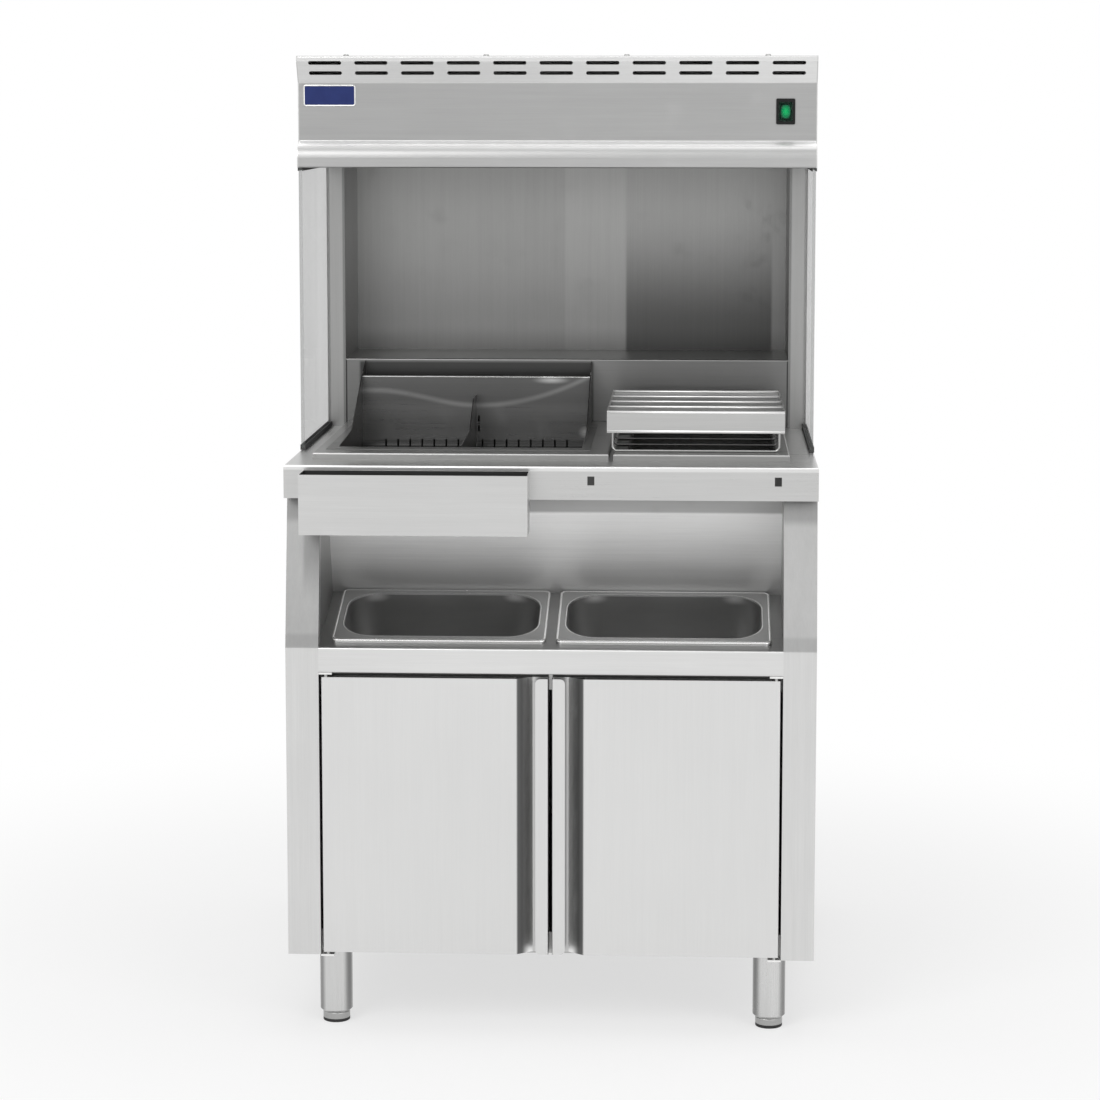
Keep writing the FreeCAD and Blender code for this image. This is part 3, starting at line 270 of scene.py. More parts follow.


# What a user would change of each steel finish. Each is the same brushed steel, its tint set darker
# or lighter for the light and shade its place gets. Zones are (axis, from, to, shade before, shade
# beyond); pockets are soft-sided boxes with a shade of their own; both are painted shade and
# painted highlights.
steelLooks = {
    # Painted shade in the finger grip, a painted highlight on the grip's back fold, painted shade on
    # the flange's return
    "doorSheet": {
        "tint": (0.70, 0.70, 0.695), "rough": 0.34, "grain": "z", "cloudDepth": 0.06,
        "grainDepth": 0.08, "lineDepth": 0.035, "bump": 0.05,
        "pockets": {
            "grip": {"x": (-0.052, 0.052), "y": (depthAt(1), None), "shade": 0.18,
                     "soft": 1.2 * mm},
            "gripBack": {"x": (-0.052, 0.052), "y": (depthAt(10.7), None), "shade": 7.5,
                         "soft": 4.8 * mm},
            "flangeEdge": {"x": (-0.0275, 0.0275), "y": (depthAt(2), None), "shade": 0.6,
                           "soft": 1 * mm}}},
    # Painted shade on the leaning front flange: above the bend, under the worktop, under the hanging
    # box and on the left side
    "sideSheet": {
        "tint": (0.65, 0.65, 0.645), "rough": 0.36, "grain": "z", "lean": (0.593, 0.1747),
        "pockets": {
            "leaningFlange": {"z": (0.594, None), "lean": (None, depthAt(2.2)), "shade": 0.68,
                              "soft": 1 * mm},
            "aboveBend": {"z": (0.594, 0.615), "lean": (None, depthAt(2.2)), "shade": 0.82,
                          "soft": 4 * mm},
            "underWorktop": {"z": (0.784, None), "lean": (None, depthAt(2.2)), "shade": 0.6,
                             "soft": 8 * mm},
            "underBox": {"x": (-0.374, 0.0), "z": (0.6, 0.784), "lean": (None, depthAt(2.2)),
                         "shade": 0.66, "soft": 4 * mm, "fade": ("z", 0.735, 0.655)},
            "leftSide": {"x": (None, 0.0), "z": (0.594, None), "lean": (None, depthAt(2.2)),
                         "shade": 0.84}}},
    # Painted shade on the sloping top and the underside, and a painted highlight on the underside
    # seen between the doors
    "shelfSheet": {
        "tint": (0.69, 0.69, 0.685), "rough": 0.36, "grain": "x",
        "pockets": {
            "slopingTop": {"y": (depthAt(2.2), None), "z": (0.5945, None), "shade": 0.39,
                           "soft": 0.8 * mm},
            "underside": {"y": (depthAt(10), None), "z": (None, 0.5568), "shade": 0.15,
                          "soft": 0.8 * mm},
            "doorGap": {"x": (-0.003, 0.003), "y": (depthAt(10), None), "z": (None, 0.5568),
                        "shade": 6.0, "soft": 0.8 * mm}}},
    # Painted reflections and shade: darker towards the foot, lighter in the middle, darker under the
    # worktop and behind the apron
    "nicheSheet": {
        "tint": (0.88, 0.88, 0.875), "rough": 0.55, "grain": "x",
        "zones": {"foot": ("z", 0.64, 0.72, 0.5, 1.0)},
        "pockets": {
            "lightMiddle": {"z": (0.735, None), "shade": 1.1, "soft": 25 * mm},
            "underWorktop": {"z": (0.784, None), "shade": 0.5, "soft": 3 * mm},
            "behindApron": {"z": (0.822, None), "shade": 0.3, "soft": 3 * mm}}},
    # Painted shade: darker towards the foot
    "nicheSideSheet": {
        "tint": (0.52, 0.52, 0.515), "rough": 0.4, "grain": "z",
        "zones": {"foot": ("z", 0.6, 0.78, 0.6, 1.0)}},
    # Painted shade on the flat top and under the carton rack, and a painted highlight along the
    # front edge
    "topSheet": {
        "tint": (0.56, 0.56, 0.555), "rough": 0.3, "grain": "x",
        "pockets": {
            "flat": {"y": (depthAt(4), None), "z": (0.8705, None), "shade": 0.85,
                     "soft": 1 * mm},
            "underRack": {"x": (0.096, 0.326), "y": (depthAt(135), depthAt(530)), "shade": 0.12,
                          "soft": 1 * mm},
            "frontEdge": {"y": (None, depthAt(4)), "z": (0.865, None), "shade": 1.32,
                          "soft": 1.5 * mm}}},
    # Tint darkened as painted reflection, a painted highlight on the front edge and painted shade
    # under the rack
    "deckSheet": {
        "tint": (0.33, 0.33, 0.325), "rough": 0.3, "grain": "x",
        "pockets": {
            "frontEdge": {"y": (None, depthAt(78.5)), "z": (0.8795, None), "shade": 1.3,
                          "soft": 0.8 * mm},
            "underRack": {"x": (0.0935, 0.116), "y": (depthAt(112), depthAt(540)),
                          "z": (0.881, None), "shade": 0.3, "soft": 1 * mm}}},
    # Tint darkened as painted shade; a painted highlight on the hem, painted shade at the foot and
    # upper back, a painted reflection as a wavy light band and two painted glints
    "scuttleSheet": {
        "tint": (0.185, 0.185, 0.183), "rough": 0.3, "grain": "x", "cloudDepth": 0.3,
        "cloudScale": 6.0,
        "pockets": {
            "hem": {"z": (0.9605, None), "y": (depthAt(489), depthAt(500)), "shade": 5.6,
                    "soft": 0.4 * mm},
            "foot": {"z": (None, 0.853), "y": (depthAt(455), None), "shade": 0.16,
                     "soft": 4 * mm},
            "upperBack": {"z": (0.915, None), "y": (depthAt(455), None), "shade": 0.72,
                          "soft": 12 * mm}},
        "arc": {"middle": -0.145, "height": 0.9135, "rise": 1.4, "leftReach": 165 * mm,
                "leftRise": 24 * mm, "width": 7 * mm, "from": depthAt(480), "gain": 0.75},
        "glints": {
            "belowHem": {"middle": (-0.022, 0.9555), "reach": (36 * mm, 7.5 * mm),
                         "from": depthAt(480), "gain": 2.6},
            "lowCorner": {"middle": (0.036, 0.8695), "reach": (16 * mm, 13 * mm),
                          "from": depthAt(480), "gain": 2.4}}},
    # Painted shade between the rack's plates and a painted highlight on the rear plate's face
    "rackSheet": {
        "tint": (0.5, 0.5, 0.495), "rough": 0.32, "grain": "x",
        "pockets": {
            "inside": {"y": (depthAt(108), None), "z": (None, 0.931), "shade": 0.36,
                       "soft": 3 * mm},
            "rearPlate": {"x": (0.084, 0.3495), "y": (depthAt(400), None), "z": (0.931, None),
                          "shade": 1.9, "soft": 1 * mm}}},
    # Painted shade inside the scoop box
    "boxSheet": {
        "tint": (0.60, 0.60, 0.595), "rough": 0.36, "grain": "x", "cloudDepth": 0.05,
        "pockets": {
            "inside": {"x": (-0.3695, -0.0315), "y": (depthAt(-56.9), depthAt(-1)),
                       "shade": 0.15, "soft": 0.5 * mm}}},
    # Tint darkened as painted shade, with painted reflections: darker lower down, a darker right
    # part and a lighter middle
    "backSheet": {
        "tint": (0.36, 0.36, 0.355), "rough": 0.34, "grain": "z", "cloudDepth": 0.25,
        "zones": {"lowerHalf": ("z", 1.0, 1.25, 0.6, 1.0), "foot": ("z", 0.985, 1.03, 0.72, 1.0)},
        "pockets": {
            "darkRight": {"x": (0.095, 0.345), "shade": 0.42, "soft": 3 * mm,
                          "fade": ("z", 1.0, 1.24)},
            "lightMiddle": {"x": (-0.01, 0.095), "shade": 1.12, "soft": 3 * mm}}},
    # Painted shade on the posts' inner faces
    "postSheet": {
        "tint": (0.42, 0.42, 0.415), "rough": 0.34, "grain": "z",
        "pockets": {"innerFaces": {"x": (-0.3725, 0.3725), "shade": 0.6, "soft": 1 * mm}}},
    # Painted shade on the front flange and folded edge, a painted reflection of the scuttle, and
    # painted shade lines at both ends
    "ledgeSheet": {
        "tint": (0.42, 0.42, 0.415), "rough": 0.33, "grain": "x",
        "pockets": {
            "frontFlange": {"z": (None, 0.9835), "y": (None, depthAt(560)), "shade": 0.55,
                            "soft": 0.8 * mm},
            "behindScuttle": {"x": (-0.345, 0.045), "z": (None, 0.981),
                              "y": (None, depthAt(560)), "shade": 0.3, "soft": 3 * mm},
            "foldedEdge": {"z": (0.9835, None), "y": (None, depthAt(550.5)), "shade": 0.72,
                           "soft": 0.8 * mm},
            "rightEnd": {"x": (0.3665, None), "z": (None, 0.9835), "shade": 0.3,
                         "soft": 0.5 * mm},
            "leftEnd": {"x": (None, -0.3665), "z": (None, 0.9835), "shade": 0.3,
                        "soft": 0.5 * mm}}},
    # Painted highlights and shade in bands: darker fascia, bright knee and graded lip, darker strip
    # top and roof, lighter towards the right
    "hoodSheet": {
        "tint": (0.69, 0.69, 0.686), "rough": 0.36, "grain": "x", "cloudDepth": 0.05,
        "zones": {"fascia": ("z", 1.4395, 1.4425, 0.505, 1.0),
                  "lipKnee": ("z", 1.3505, 1.3535, 3.38, 1.0),
                  "lipUpper": ("z", 1.3435, 1.3475, 0.46, 1.0),
                  "lipMiddle": ("z", 1.336, 1.3425, 0.68, 1.0),
                  "lipFoot": ("z", 1.324, 1.332, 1.1, 1.0),
                  "stripTop": ("z", 1.472, 1.474, 1.0, 0.86),
                  "roof": ("z", 1.4806, 1.4814, 1.0, 0.62),
                  "leftToRight": ("x", -0.35, 0.35, 0.97, 1.09)}},
    "hoodEndSheet": {"tint": (0.55, 0.55, 0.545), "rough": 0.35, "grain": "y"},
    "hiddenSheet": {"tint": (0.45, 0.45, 0.445), "rough": 0.42, "grain": "x"},
    # Dark tint as painted shade inside the wells
    "wellSheet": {"tint": (0.13, 0.13, 0.128), "rough": 0.36, "grain": "x"},
    "rearSheet": {"tint": (0.55, 0.55, 0.545), "rough": 0.4, "grain": "z"},
    # Painted reflection: darker towards both sides of each leg, lighter again at the rim
    "legTube": {
        "tint": (0.64, 0.64, 0.635), "rough": 0.26, "grain": "z",
        "tube": {"middle": 334 * mm, "radius": 25 * mm, "dark": 0.6, "darkening": (0.5, 0.86),
                 "rim": (0.93, 1.0), "rimShare": 0.5}},
    "screwSteel": {"tint": (0.42, 0.42, 0.415), "rough": 0.3, "grain": "x"},
    "brightWire": {"tint": (0.68, 0.68, 0.67), "rough": 0.18, "grain": "x", "grainDepth": 0.05},
    # Tint raised as a painted highlight along the hems
    "rackHem": {"tint": (0.95, 0.95, 0.94), "rough": 0.5, "grain": "x"},
    # Painted shade on the wires behind the front one
    "rackWire": {
        "tint": (0.4, 0.4, 0.395), "rough": 0.24, "grain": "x", "grainDepth": 0.05,
        "pockets": {"rear": {"y": (depthAt(125), None), "shade": 0.3, "soft": 4 * mm}}},
    # Tint raised as a painted highlight along the pan beads
    "panBead": {"tint": (0.95, 0.95, 0.94), "rough": 0.22, "grain": "x", "grainDepth": 0.05},
    # Tint raised as painted light on hinge plates that sit in shade
    "hingeSheet": {"tint": (0.85, 0.85, 0.84), "rough": 0.4, "grain": "x"},
    "mirrorSheet": {"tint": (0.8, 0.8, 0.79), "rough": 0.14, "grain": "x", "grainDepth": 0.04},
}


def pressedPan(name, look):
    # In the sloping frame of the shelf: painted shade on the rim and in the tub, a painted highlight
    # on the front lip and two painted glints in the tub
    material, board, place = newMaterial(name)
    turned = board.stretched(place, (1, 1, 1), (math.radians(-look["slope"]), 0, 0))
    x, along, height = splitAxes(board, turned)
    below = look["rimTop"] - height
    rim = board.ease(below, *look["rimEdge"], 1.0, 0.0)
    tub = board.ease(below, *look["tubEdge"])
    deep = board.ease(below, *look["tubDepth"])
    lip = board.ease(along, *look["lipEdge"], look["lipShade"], 0.0)
    inside = 1 - tub * (1 - look["wallShade"] - deep * (look["floorShade"] - look["wallShade"]))
    clouds = board.noise(place, look["cloudScale"])
    draw = board.noise(board.stretched(place, look["drawScales"]), 1.0)
    aside = ((x.abs() - look["middle"]).abs() - look["glintAside"]).abs() / look["glintWide"]
    under = (below - look["glintBelow"]) / look["glintHigh"]
    glint = (board.glow(aside, under, look["glintGain"]) * board.beyond(along, look["glintFrom"])
             * tub)
    tone = inside * (1 + glint) * (1 - rim * (1 - look["rimShade"]))
    tone = tone.higher(lip) * (look["base"] + clouds * look["cloudDepth"]
                               + draw * look["drawDepth"])
    rough = look["rough"] + clouds * look["roughClouds"] + deep * look["roughDeep"]
    finishSurface(board, {"Base Color": board.shaded(look["tint"], tone), "Roughness": rough,
                          "Metallic": 1.0,
                          "Normal": board.bump(draw, look["bump"], look["bumpDistance"])})
    return material


panLook = {
    "tint": (0.82, 0.82, 0.815), "slope": 16.28, "rimTop": 0.67967,
    "rimEdge": (0.2 * mm, 0.7 * mm), "tubEdge": (1.6 * mm, 3.2 * mm), "tubDepth": (3 * mm, 95 * mm),
    "lipEdge": (-0.1689, -0.1681), "lipShade": 1.18, "rimShade": 0.48, "wallShade": 0.5,
    "floorShade": 0.42, "cloudScale": 9.0, "drawScales": (14, 14, 260), "base": 0.92,
    "cloudDepth": 0.12, "drawDepth": 0.06, "rough": 0.3, "roughClouds": 0.12, "roughDeep": 0.08,
    "bump": 0.015, "bumpDistance": 0.3 * mm, "middle": 170 * mm, "glintAside": 108 * mm,
    "glintWide": 24 * mm, "glintBelow": 5 * mm, "glintHigh": 12 * mm, "glintFrom": -0.03,
    "glintGain": 1.4,
}


def footMetal(name, look):
    # A satin collar over a black rubber sole
    material, board, place = newMaterial(name)
    height = splitAxes(board, place)[2]
    sole = board.ease(height, look["sole"], look["sole"] + look["soleEdge"], 1.0, 0.0)
    grain = board.noise(board.stretched(place, look["grainScales"]), 1.0)
    scuffs = board.noise(place, look["scuffScale"], look["scuffDetail"])
    metal = board.shaded(look["metal"], look["base"] + grain * look["grainDepth"])
    rough = (look["rough"] + grain * look["roughGrain"]
             + sole * (look["roughSole"] + scuffs * look["roughScuffs"]))
    relief = scuffs * sole + grain * look["bumpGrain"]
    finishSurface(board, {"Base Color": board.blend(metal, look["rubber"], sole),
                          "Roughness": rough, "Metallic": 1 - sole,
                          "Normal": board.bump(relief, look["bump"], look["bumpDistance"])})
    return material


footLook = {
    "sole": 5 * mm, "soleEdge": 0.4 * mm, "metal": (0.42, 0.42, 0.415),
    "rubber": (0.02, 0.02, 0.02), "grainScales": (30, 30, 900), "scuffScale": 90.0,
    "scuffDetail": 4.0, "base": 0.85, "grainDepth": 0.3, "rough": 0.3, "roughGrain": 0.12,
    "roughSole": 0.35, "roughScuffs": 0.15, "bumpGrain": 0.3, "bump": 0.2,
    "bumpDistance": 0.3 * mm,
}

plasticDefaults = {"shine": 0.5, "grainDetail": 4.0, "cloudScale": 40.0, "cloudDetail": 2.0,
                   "base": 0.85, "cloudDepth": 0.3, "roughGrain": 0.15,
                   "bumpDistance": 0.2 * mm}


def mouldedPlastic(name, look):
    look = {**plasticDefaults, **look}
    material, board, place = newMaterial(name)
    fine = board.noise(place, look["grainSize"], look["grainDetail"])
    clouds = board.noise(place, look["cloudScale"], look["cloudDetail"])
    tint = board.shaded(look["tint"], look["base"] + clouds * look["cloudDepth"])
    rough = look["rough"] + (fine - 0.5) * look["roughGrain"]
    finishSurface(board, {"Base Color": tint, "Roughness": rough,
                          "Specular IOR Level": look["shine"],
                          "Normal": board.bump(fine, look["bump"], look["bumpDistance"])})
    return material


plasticLooks = {
    "switchBlack": {"tint": (0.012, 0.012, 0.012), "rough": 0.5, "grainSize": 2400, "bump": 0.2,
                    "shine": 0.18},
    "fittingBlack": {"tint": (0.03, 0.03, 0.03), "rough": 0.5, "grainSize": 1800, "bump": 0.25},
    "edgeRubber": {"tint": (0.06, 0.06, 0.06), "rough": 0.62, "grainSize": 1200, "bump": 0.3,
                   "shine": 0.35},
    "firedCeramic": {"tint": (0.78, 0.75, 0.68), "rough": 0.7, "grainSize": 900, "bump": 0.35,
                     "shine": 0.3},
}


def keyLens(name, look):
    # Tinted key: a painted highlight in the middle, painted shade at its corners, and a faint glow
    material, board, place = newMaterial(name)
    x, _, z = splitAxes(board, place)
    reach = (((x - look["middle"][0]) / look["half"][0]) ** 2
             + ((z - look["middle"][1]) / look["half"][1]) ** 2) ** 0.5
    glow = board.ease(reach, *look["glowEdge"], 1.0, 0.0)
    ribs = board.node("ShaderNodeMath", {"operation": "SINE"}, {0: z * look["ribs"]})
    corner = board.ease(reach, *look["cornerEdge"])
    tint = board.blend(board.blend(look["edge"], look["centre"], glow), look["corner"], corner)
    rough = look["rough"] + (1 - glow) * look["roughEdge"]
    relief = board.bump(ribs * 0.5 + 0.5, look["bump"], look["bumpDistance"])
    finishSurface(board, {"Base Color": tint, "Roughness": rough, "Normal": relief,
                          "Emission Color": tint, "Emission Strength": look["lamp"],
                          "Specular IOR Level": look["shine"]})
    return material


keyLook = {
    "middle": (351.5 * mm, 1397.2 * mm), "half": (7 * mm, 10 * mm), "ribs": 2600,
    "edge": (0.0, 0.22, 0.08), "centre": (0.0, 0.62, 0.17), "corner": (0.002, 0.03, 0.015),
    "glowEdge": (0.15, 1.0), "cornerEdge": (0.98, 1.14), "rough": 0.16, "roughEdge": 0.14,
    "bump": 0.15, "bumpDistance": 0.3 * mm, "lamp": 0.12, "shine": 0.25,
}


def plateEnamel(name, look):
    # Blank enamel field; faint orange peel and a slow change of depth
    material, board, place = newMaterial(name)
    peel = board.noise(place, look["peelScale"], look["detail"])
    clouds = board.noise(place, look["cloudScale"], look["detail"])
    rough = look["rough"] + clouds * look["roughClouds"]
    finishSurface(board, {"Base Color": board.blend(look["deep"], look["light"], clouds),
                          "Roughness": rough, "Specular IOR Level": look["shine"],
                          "Normal": board.bump(peel, look["bump"], look["bumpDistance"])})
    return material


plateLook = {"deep": (0.006, 0.015, 0.1), "light": (0.011, 0.026, 0.142), "peelScale": 700.0,
             "cloudScale": 60.0, "detail": 2.0, "rough": 0.3, "roughClouds": 0.1, "shine": 0.3,
             "bump": 0.08, "bumpDistance": 0.2 * mm}

clearDefaults = {"smearScales": (4, 4, 9), "smearDetail": 4.0, "facingBlend": 0.5,
                 "smearCover": 0.2, "smearEdge": (0.45, 0.75), "roughSmears": 0.05}


def clearSheet(name, look):
    # Pale see-through sheet; its cut edges are less clear than its faces
    look = {**clearDefaults, **look}
    material, board, place = newMaterial(name)
    axes = dict(zip("xyz", splitAxes(board, place)))
    smears = board.noise(board.stretched(place, look["smearScales"]), 1.0, look["smearDetail"])
    facing = board.node("ShaderNodeLayerWeight", {}, {"Blend": look["facingBlend"]}, "Facing")
    cover = (look["cover"] + facing ** 2 * look["edgeOn"]
             + (smears - 0.5) * look["cover"] * look["smearCover"])
    for pocket in look.get("pockets", {}).values():
        cover = cover + board.boxMask(axes, pocket) * pocket["shade"]
    rough = look["rough"] + board.ease(smears, *look["smearEdge"]) * look["roughSmears"]
    finishSurface(board, {"Base Color": board.blend(look["tint"], look["smear"], smears),
                          "Roughness": rough, "Alpha": cover, "IOR": look["ior"]})
    return material


clearLooks = {
    "sideGlass": {"tint": (0.15, 0.16, 0.155), "smear": (0.18, 0.19, 0.185), "rough": 0.04,
                  "cover": 0.07, "edgeOn": 0.3, "ior": 1.46,
                  "pockets": {"frontEdge": {"y": (None, depthAt(199)), "shade": 0.4,
                                            "soft": 1 * mm}}},
    "splashCap": {"tint": (0.02, 0.07, 0.045), "smear": (0.03, 0.1, 0.06), "rough": 0.12,
                  "cover": 0.14, "edgeOn": 0.3, "ior": 1.25},
    "quartzTube": {"tint": (0.75, 0.72, 0.68), "smear": (0.66, 0.64, 0.6), "rough": 0.12,
                   "cover": 0.35, "edgeOn": 0.2, "ior": 1.45},
}

steel = {name: brushedSheet(name, look) for name, look in steelLooks.items()}
plastic = {name: mouldedPlastic(name, look) for name, look in plasticLooks.items()}
clear = {name: clearSheet(name, look) for name, look in clearLooks.items()}
panSteel = pressedPan("pressedPan", panLook)
footSteel = footMetal("footMetal", footLook)
keyGreen = keyLens("keyLens", keyLook)
plateBlue = plateEnamel("plateEnamel", plateLook)
print("materials ready")

finishes = {
    "door_left": steel["doorSheet"], "door_right": steel["doorSheet"],
    "side_panel_left": steel["sideSheet"], "side_panel_right": steel["sideSheet"],
    "niche_side_left": steel["nicheSideSheet"], "niche_side_right": steel["nicheSideSheet"],
    "niche_back": steel["nicheSheet"], "pan_shelf": steel["shelfSheet"],
    "pan_left": panSteel, "pan_right": panSteel, "worktop": steel["topSheet"],
    "dump_deck": steel["deckSheet"], "rack_deck": steel["deckSheet"],
    "dump_scuttle": steel["scuttleSheet"], "scuttle_divider": steel["scuttleSheet"],
    "strainer_plate": steel["scuttleSheet"], "carton_rack": steel["rackSheet"],
    "dump_well": steel["wellSheet"], "rack_well": steel["wellSheet"],
    "rack_wires": steel["rackWire"], "heater_guard": steel["brightWire"],
    "hinge_plates": steel["hingeSheet"],
    "scoop_box": steel["boxSheet"], "back_panel": steel["backSheet"],
    "post_left": steel["postSheet"], "post_right": steel["postSheet"],
    "rear_ledge": steel["ledgeSheet"], "hood_shell": steel["hoodSheet"],
    "hood_end_left": steel["hoodEndSheet"], "hood_end_right": steel["hoodEndSheet"],
    "rear_cover": steel["rearSheet"], "cabinet_back": steel["rearSheet"],
    "heat_reflector": steel["mirrorSheet"], "legs": steel["legTube"],
    "glass_left": clear["sideGlass"], "glass_right": clear["sideGlass"],
    "switch_cap": clear["splashCap"], "heater_tubes": clear["quartzTube"],
    "glass_channels": plastic["edgeRubber"], "glass_top_channels": plastic["edgeRubber"],
    "switch_bezel": plastic["switchBlack"], "cable_gland": plastic["fittingBlack"],
    "terminal_block": plastic["fittingBlack"], "door_magnets": plastic["fittingBlack"],
    "tube_holders": plastic["firedCeramic"], "badge_plate": plateBlue,
    "switch_rocker": keyGreen,
}
for name, node in nodes.items():
    finish = footSteel if name.startswith("foot_") else finishes.get(name, steel["hiddenSheet"])
    for meshObject in [node] + list(node.children_recursive):
        if meshObject.type == "MESH":
            meshObject.data.materials.clear()
            meshObject.data.materials.append(finish)
print("finishes given to", len(nodes), "pieces")


def newPiece(name, mesh, material, body, replaced=()):
    piece = bpy.data.objects.new(name, mesh)
    scene.collection.objects.link(piece)
    mesh.materials.clear()
    mesh.materials.append(material)
    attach(piece, body)
    if replaced:
        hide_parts(*replaced)
    return piece


def meshFromWork(work, name):
    mesh = bpy.data.meshes.new(name)
    work.to_mesh(mesh)
    work.free()
    return mesh


# Faces between two closed rows of as many points
def joinLoops(work, first, second):
    for step in range(len(first)):
        following = (step + 1) % len(first)
        work.faces.new((first[step], first[following], second[following], second[step]))


# The start and the end that every geometry tree shares
def newTree(name, inputs):
    tree = bpy.data.node_groups.new(name, "GeometryNodeTree")
    for label, kind in {**inputs, "Finish": "Material"}.items():
        tree.interface.new_socket(label, in_out="INPUT", socket_type="NodeSocket" + kind)
    tree.interface.new_socket("Geometry", in_out="OUTPUT", socket_type="NodeSocketGeometry")
    board = Board(tree)
    given = tree.nodes.new("NodeGroupInput")
    return board, {socket.name: Wire(board, socket) for socket in given.outputs if socket.name}


def finishTree(board, wire, geometry, smooth=False):
    real = board.node("GeometryNodeRealizeInstances", {}, {"Geometry": geometry})
    if smooth:
        real = board.node("GeometryNodeSetShadeSmooth", {}, {0: real})
    dressed = board.node("GeometryNodeSetMaterial", {}, {"Geometry": real,
                                                         "Material": wire["Finish"]})
    board.node("NodeGroupOutput", {}, {"Geometry": dressed})
    return board.tree


def moved(board, geometry, place, turn=(0, 0, 0)):
    return board.node("GeometryNodeTransform", {}, {"Geometry": geometry, "Translation": place,
                                                    "Rotation": turn})


def meshFromTree(name, tree, values):
    holder = bpy.data.objects.new(name + "Holder", bpy.data.meshes.new(name + "Seed"))
    scene.collection.objects.link(holder)
    modifier = holder.modifiers.new("made", "NODES")
    modifier.node_group = tree
    for item in tree.interface.items_tree:
        if item.in_out == "INPUT" and item.name in values:
            modifier[item.identifier] = values[item.name]
    made = bpy.data.meshes.new_from_object(holder.evaluated_get(
        bpy.context.evaluated_depsgraph_get()))
    made.name = name
    holder.modifiers.remove(modifier)
    bpy.data.objects.remove(holder)
    return made


def pieceFromTree(name, tree, finish, values, replaced=()):
    mesh = meshFromTree(name, tree, {**values, "Finish": finish})
    return newPiece(name, mesh, finish, "station", replaced)


# Screw heads, set out by a geometry tree on a grid of points. Shares are of the head's radius,
# height or recess; the recess is a cross, with a corner at every third of its points.
screwLook = {"radius": 4.5 * mm, "height": 2.6 * mm, "recess": 1.7 * mm, "recessDepth": 1.3 * mm,
             "sides": 12, "shoulderHeight": 0.35, "domeWidth": 0.86, "domeHeight": 0.75,
             "crownWidth": 0.6, "recessTaper": 0.8, "recessWaist": 0.62, "cornerEvery": 3}


def screwHead(look):
    radius, height, recess = look["radius"], look["height"], look["recess"]
    rings = [(radius, 0), (radius, height * look["shoulderHeight"]),
             (radius * look["domeWidth"], height * look["domeHeight"]),
             (radius * look["crownWidth"], height), (recess, height),
             (recess * look["recessTaper"], height - look["recessDepth"])]
    work = bmesh.new()
    loops = []
    for ringRadius, ringHeight in rings:
        loop = []
        for step in range(look["sides"]):
            angle = math.tau * step / look["sides"]
            waisted = ringRadius <= recess and step % look["cornerEvery"]
            reach = ringRadius * (look["recessWaist"] if waisted else 1.0)
            loop.append(work.verts.new((reach * math.cos(angle), reach * math.sin(angle),
                                        ringHeight)))
        loops.append(loop)
    for lower, upper in zip(loops, loops[1:]):
        joinLoops(work, lower, upper)
    work.faces.new(loops[-1])
    work.faces.new(loops[0][::-1])
    bmesh.ops.recalc_face_normals(work, faces=work.faces)
    return bpy.data.objects.new("screwHeadSource", meshFromWork(work, "screwHead"))


def gridTree():
    board, wire = newTree("screwGrid", {"Columns": "Int", "Rows": "Int", "Width": "Float",
                                        "Height": "Float", "Centre": "Vector", "Turn": "Vector",
                                        "Head": "Object"})
    grid = board.node("GeometryNodeMeshGrid", {},
                      {"Size X": wire["Width"], "Size Y": wire["Height"],
                       "Vertices X": wire["Columns"], "Vertices Y": wire["Rows"]})
    head = board.node("GeometryNodeObjectInfo", {"transform_space": "ORIGINAL"},
                      {"Object": wire["Head"], "As Instance": True}, "Geometry")
    placed = board.node("GeometryNodeInstanceOnPoints", {}, {"Points": grid, "Instance": head})
    return finishTree(board, wire, moved(board, placed, wire["Centre"], wire["Turn"]))


screwSource = screwHead(screwLook)
screwTree = gridTree()
screwSets = {
    "roofScrewHeads": {"columns": 4, "rows": 3, "width": 648 * mm, "height": 556 * mm,
                       "centre": spot(0, 480 * mm, 1482 * mm), "turn": (0, 0, 0),
                       "replaced": ("roof_screws",)},
    "rearCoverScrews": {"columns": 2, "rows": 5, "width": 774 * mm, "height": 570 * mm,
                        "centre": spot(0, 771.5 * mm, 1180 * mm),
                        "turn": (-math.pi / 2, 0, 0), "replaced": ()},
}
for name, one in screwSets.items():
    pieceFromTree(name, screwTree, steel["screwSteel"], {
        "Columns": one["columns"], "Rows": one["rows"], "Width": one["width"],
        "Height": one["height"], "Centre": one["centre"], "Turn": one["turn"],
        "Head": screwSource}, one["replaced"])
bpy.data.objects.remove(screwSource)
print("screw heads set")

# Rolled hems along the carton rack's plates, one tree for all the rows
hemLook = {"radius": 2.6 * mm, "sides": 12, "pitch": 81 * mm, "first": 107.1 * mm,
           "left": 81.7 * mm, "right": 351.8 * mm}
hemRows = {"rackTopHems": {"height": 943.0 * mm, "rows": 5},
           "rackBottomHem": {"height": 914.0 * mm, "rows": 1}}


def hemTree(look):
    board, wire = newTree("rackHems", {"Rows": "Int", "Pitch": "Float", "Length": "Float",
                                       "Radius": "Float", "Start": "Vector"})
    step = board.node("ShaderNodeCombineXYZ", {}, {"Y": wire["Pitch"]})
    rows = board.node("GeometryNodeMeshLine", {"mode": "OFFSET"},
                      {"Count": wire["Rows"], "Start Location": wire["Start"], "Offset": step})
    roll = board.node("GeometryNodeMeshCylinder", {},
                      {"Vertices": look["sides"], "Radius": wire["Radius"],
                       "Depth": wire["Length"]}, "Mesh")
    placed = board.node("GeometryNodeInstanceOnPoints", {},
                        {"Points": rows, "Instance": roll, "Rotation": (0, math.pi / 2, 0)})
    return finishTree(board, wire, placed, smooth=True)


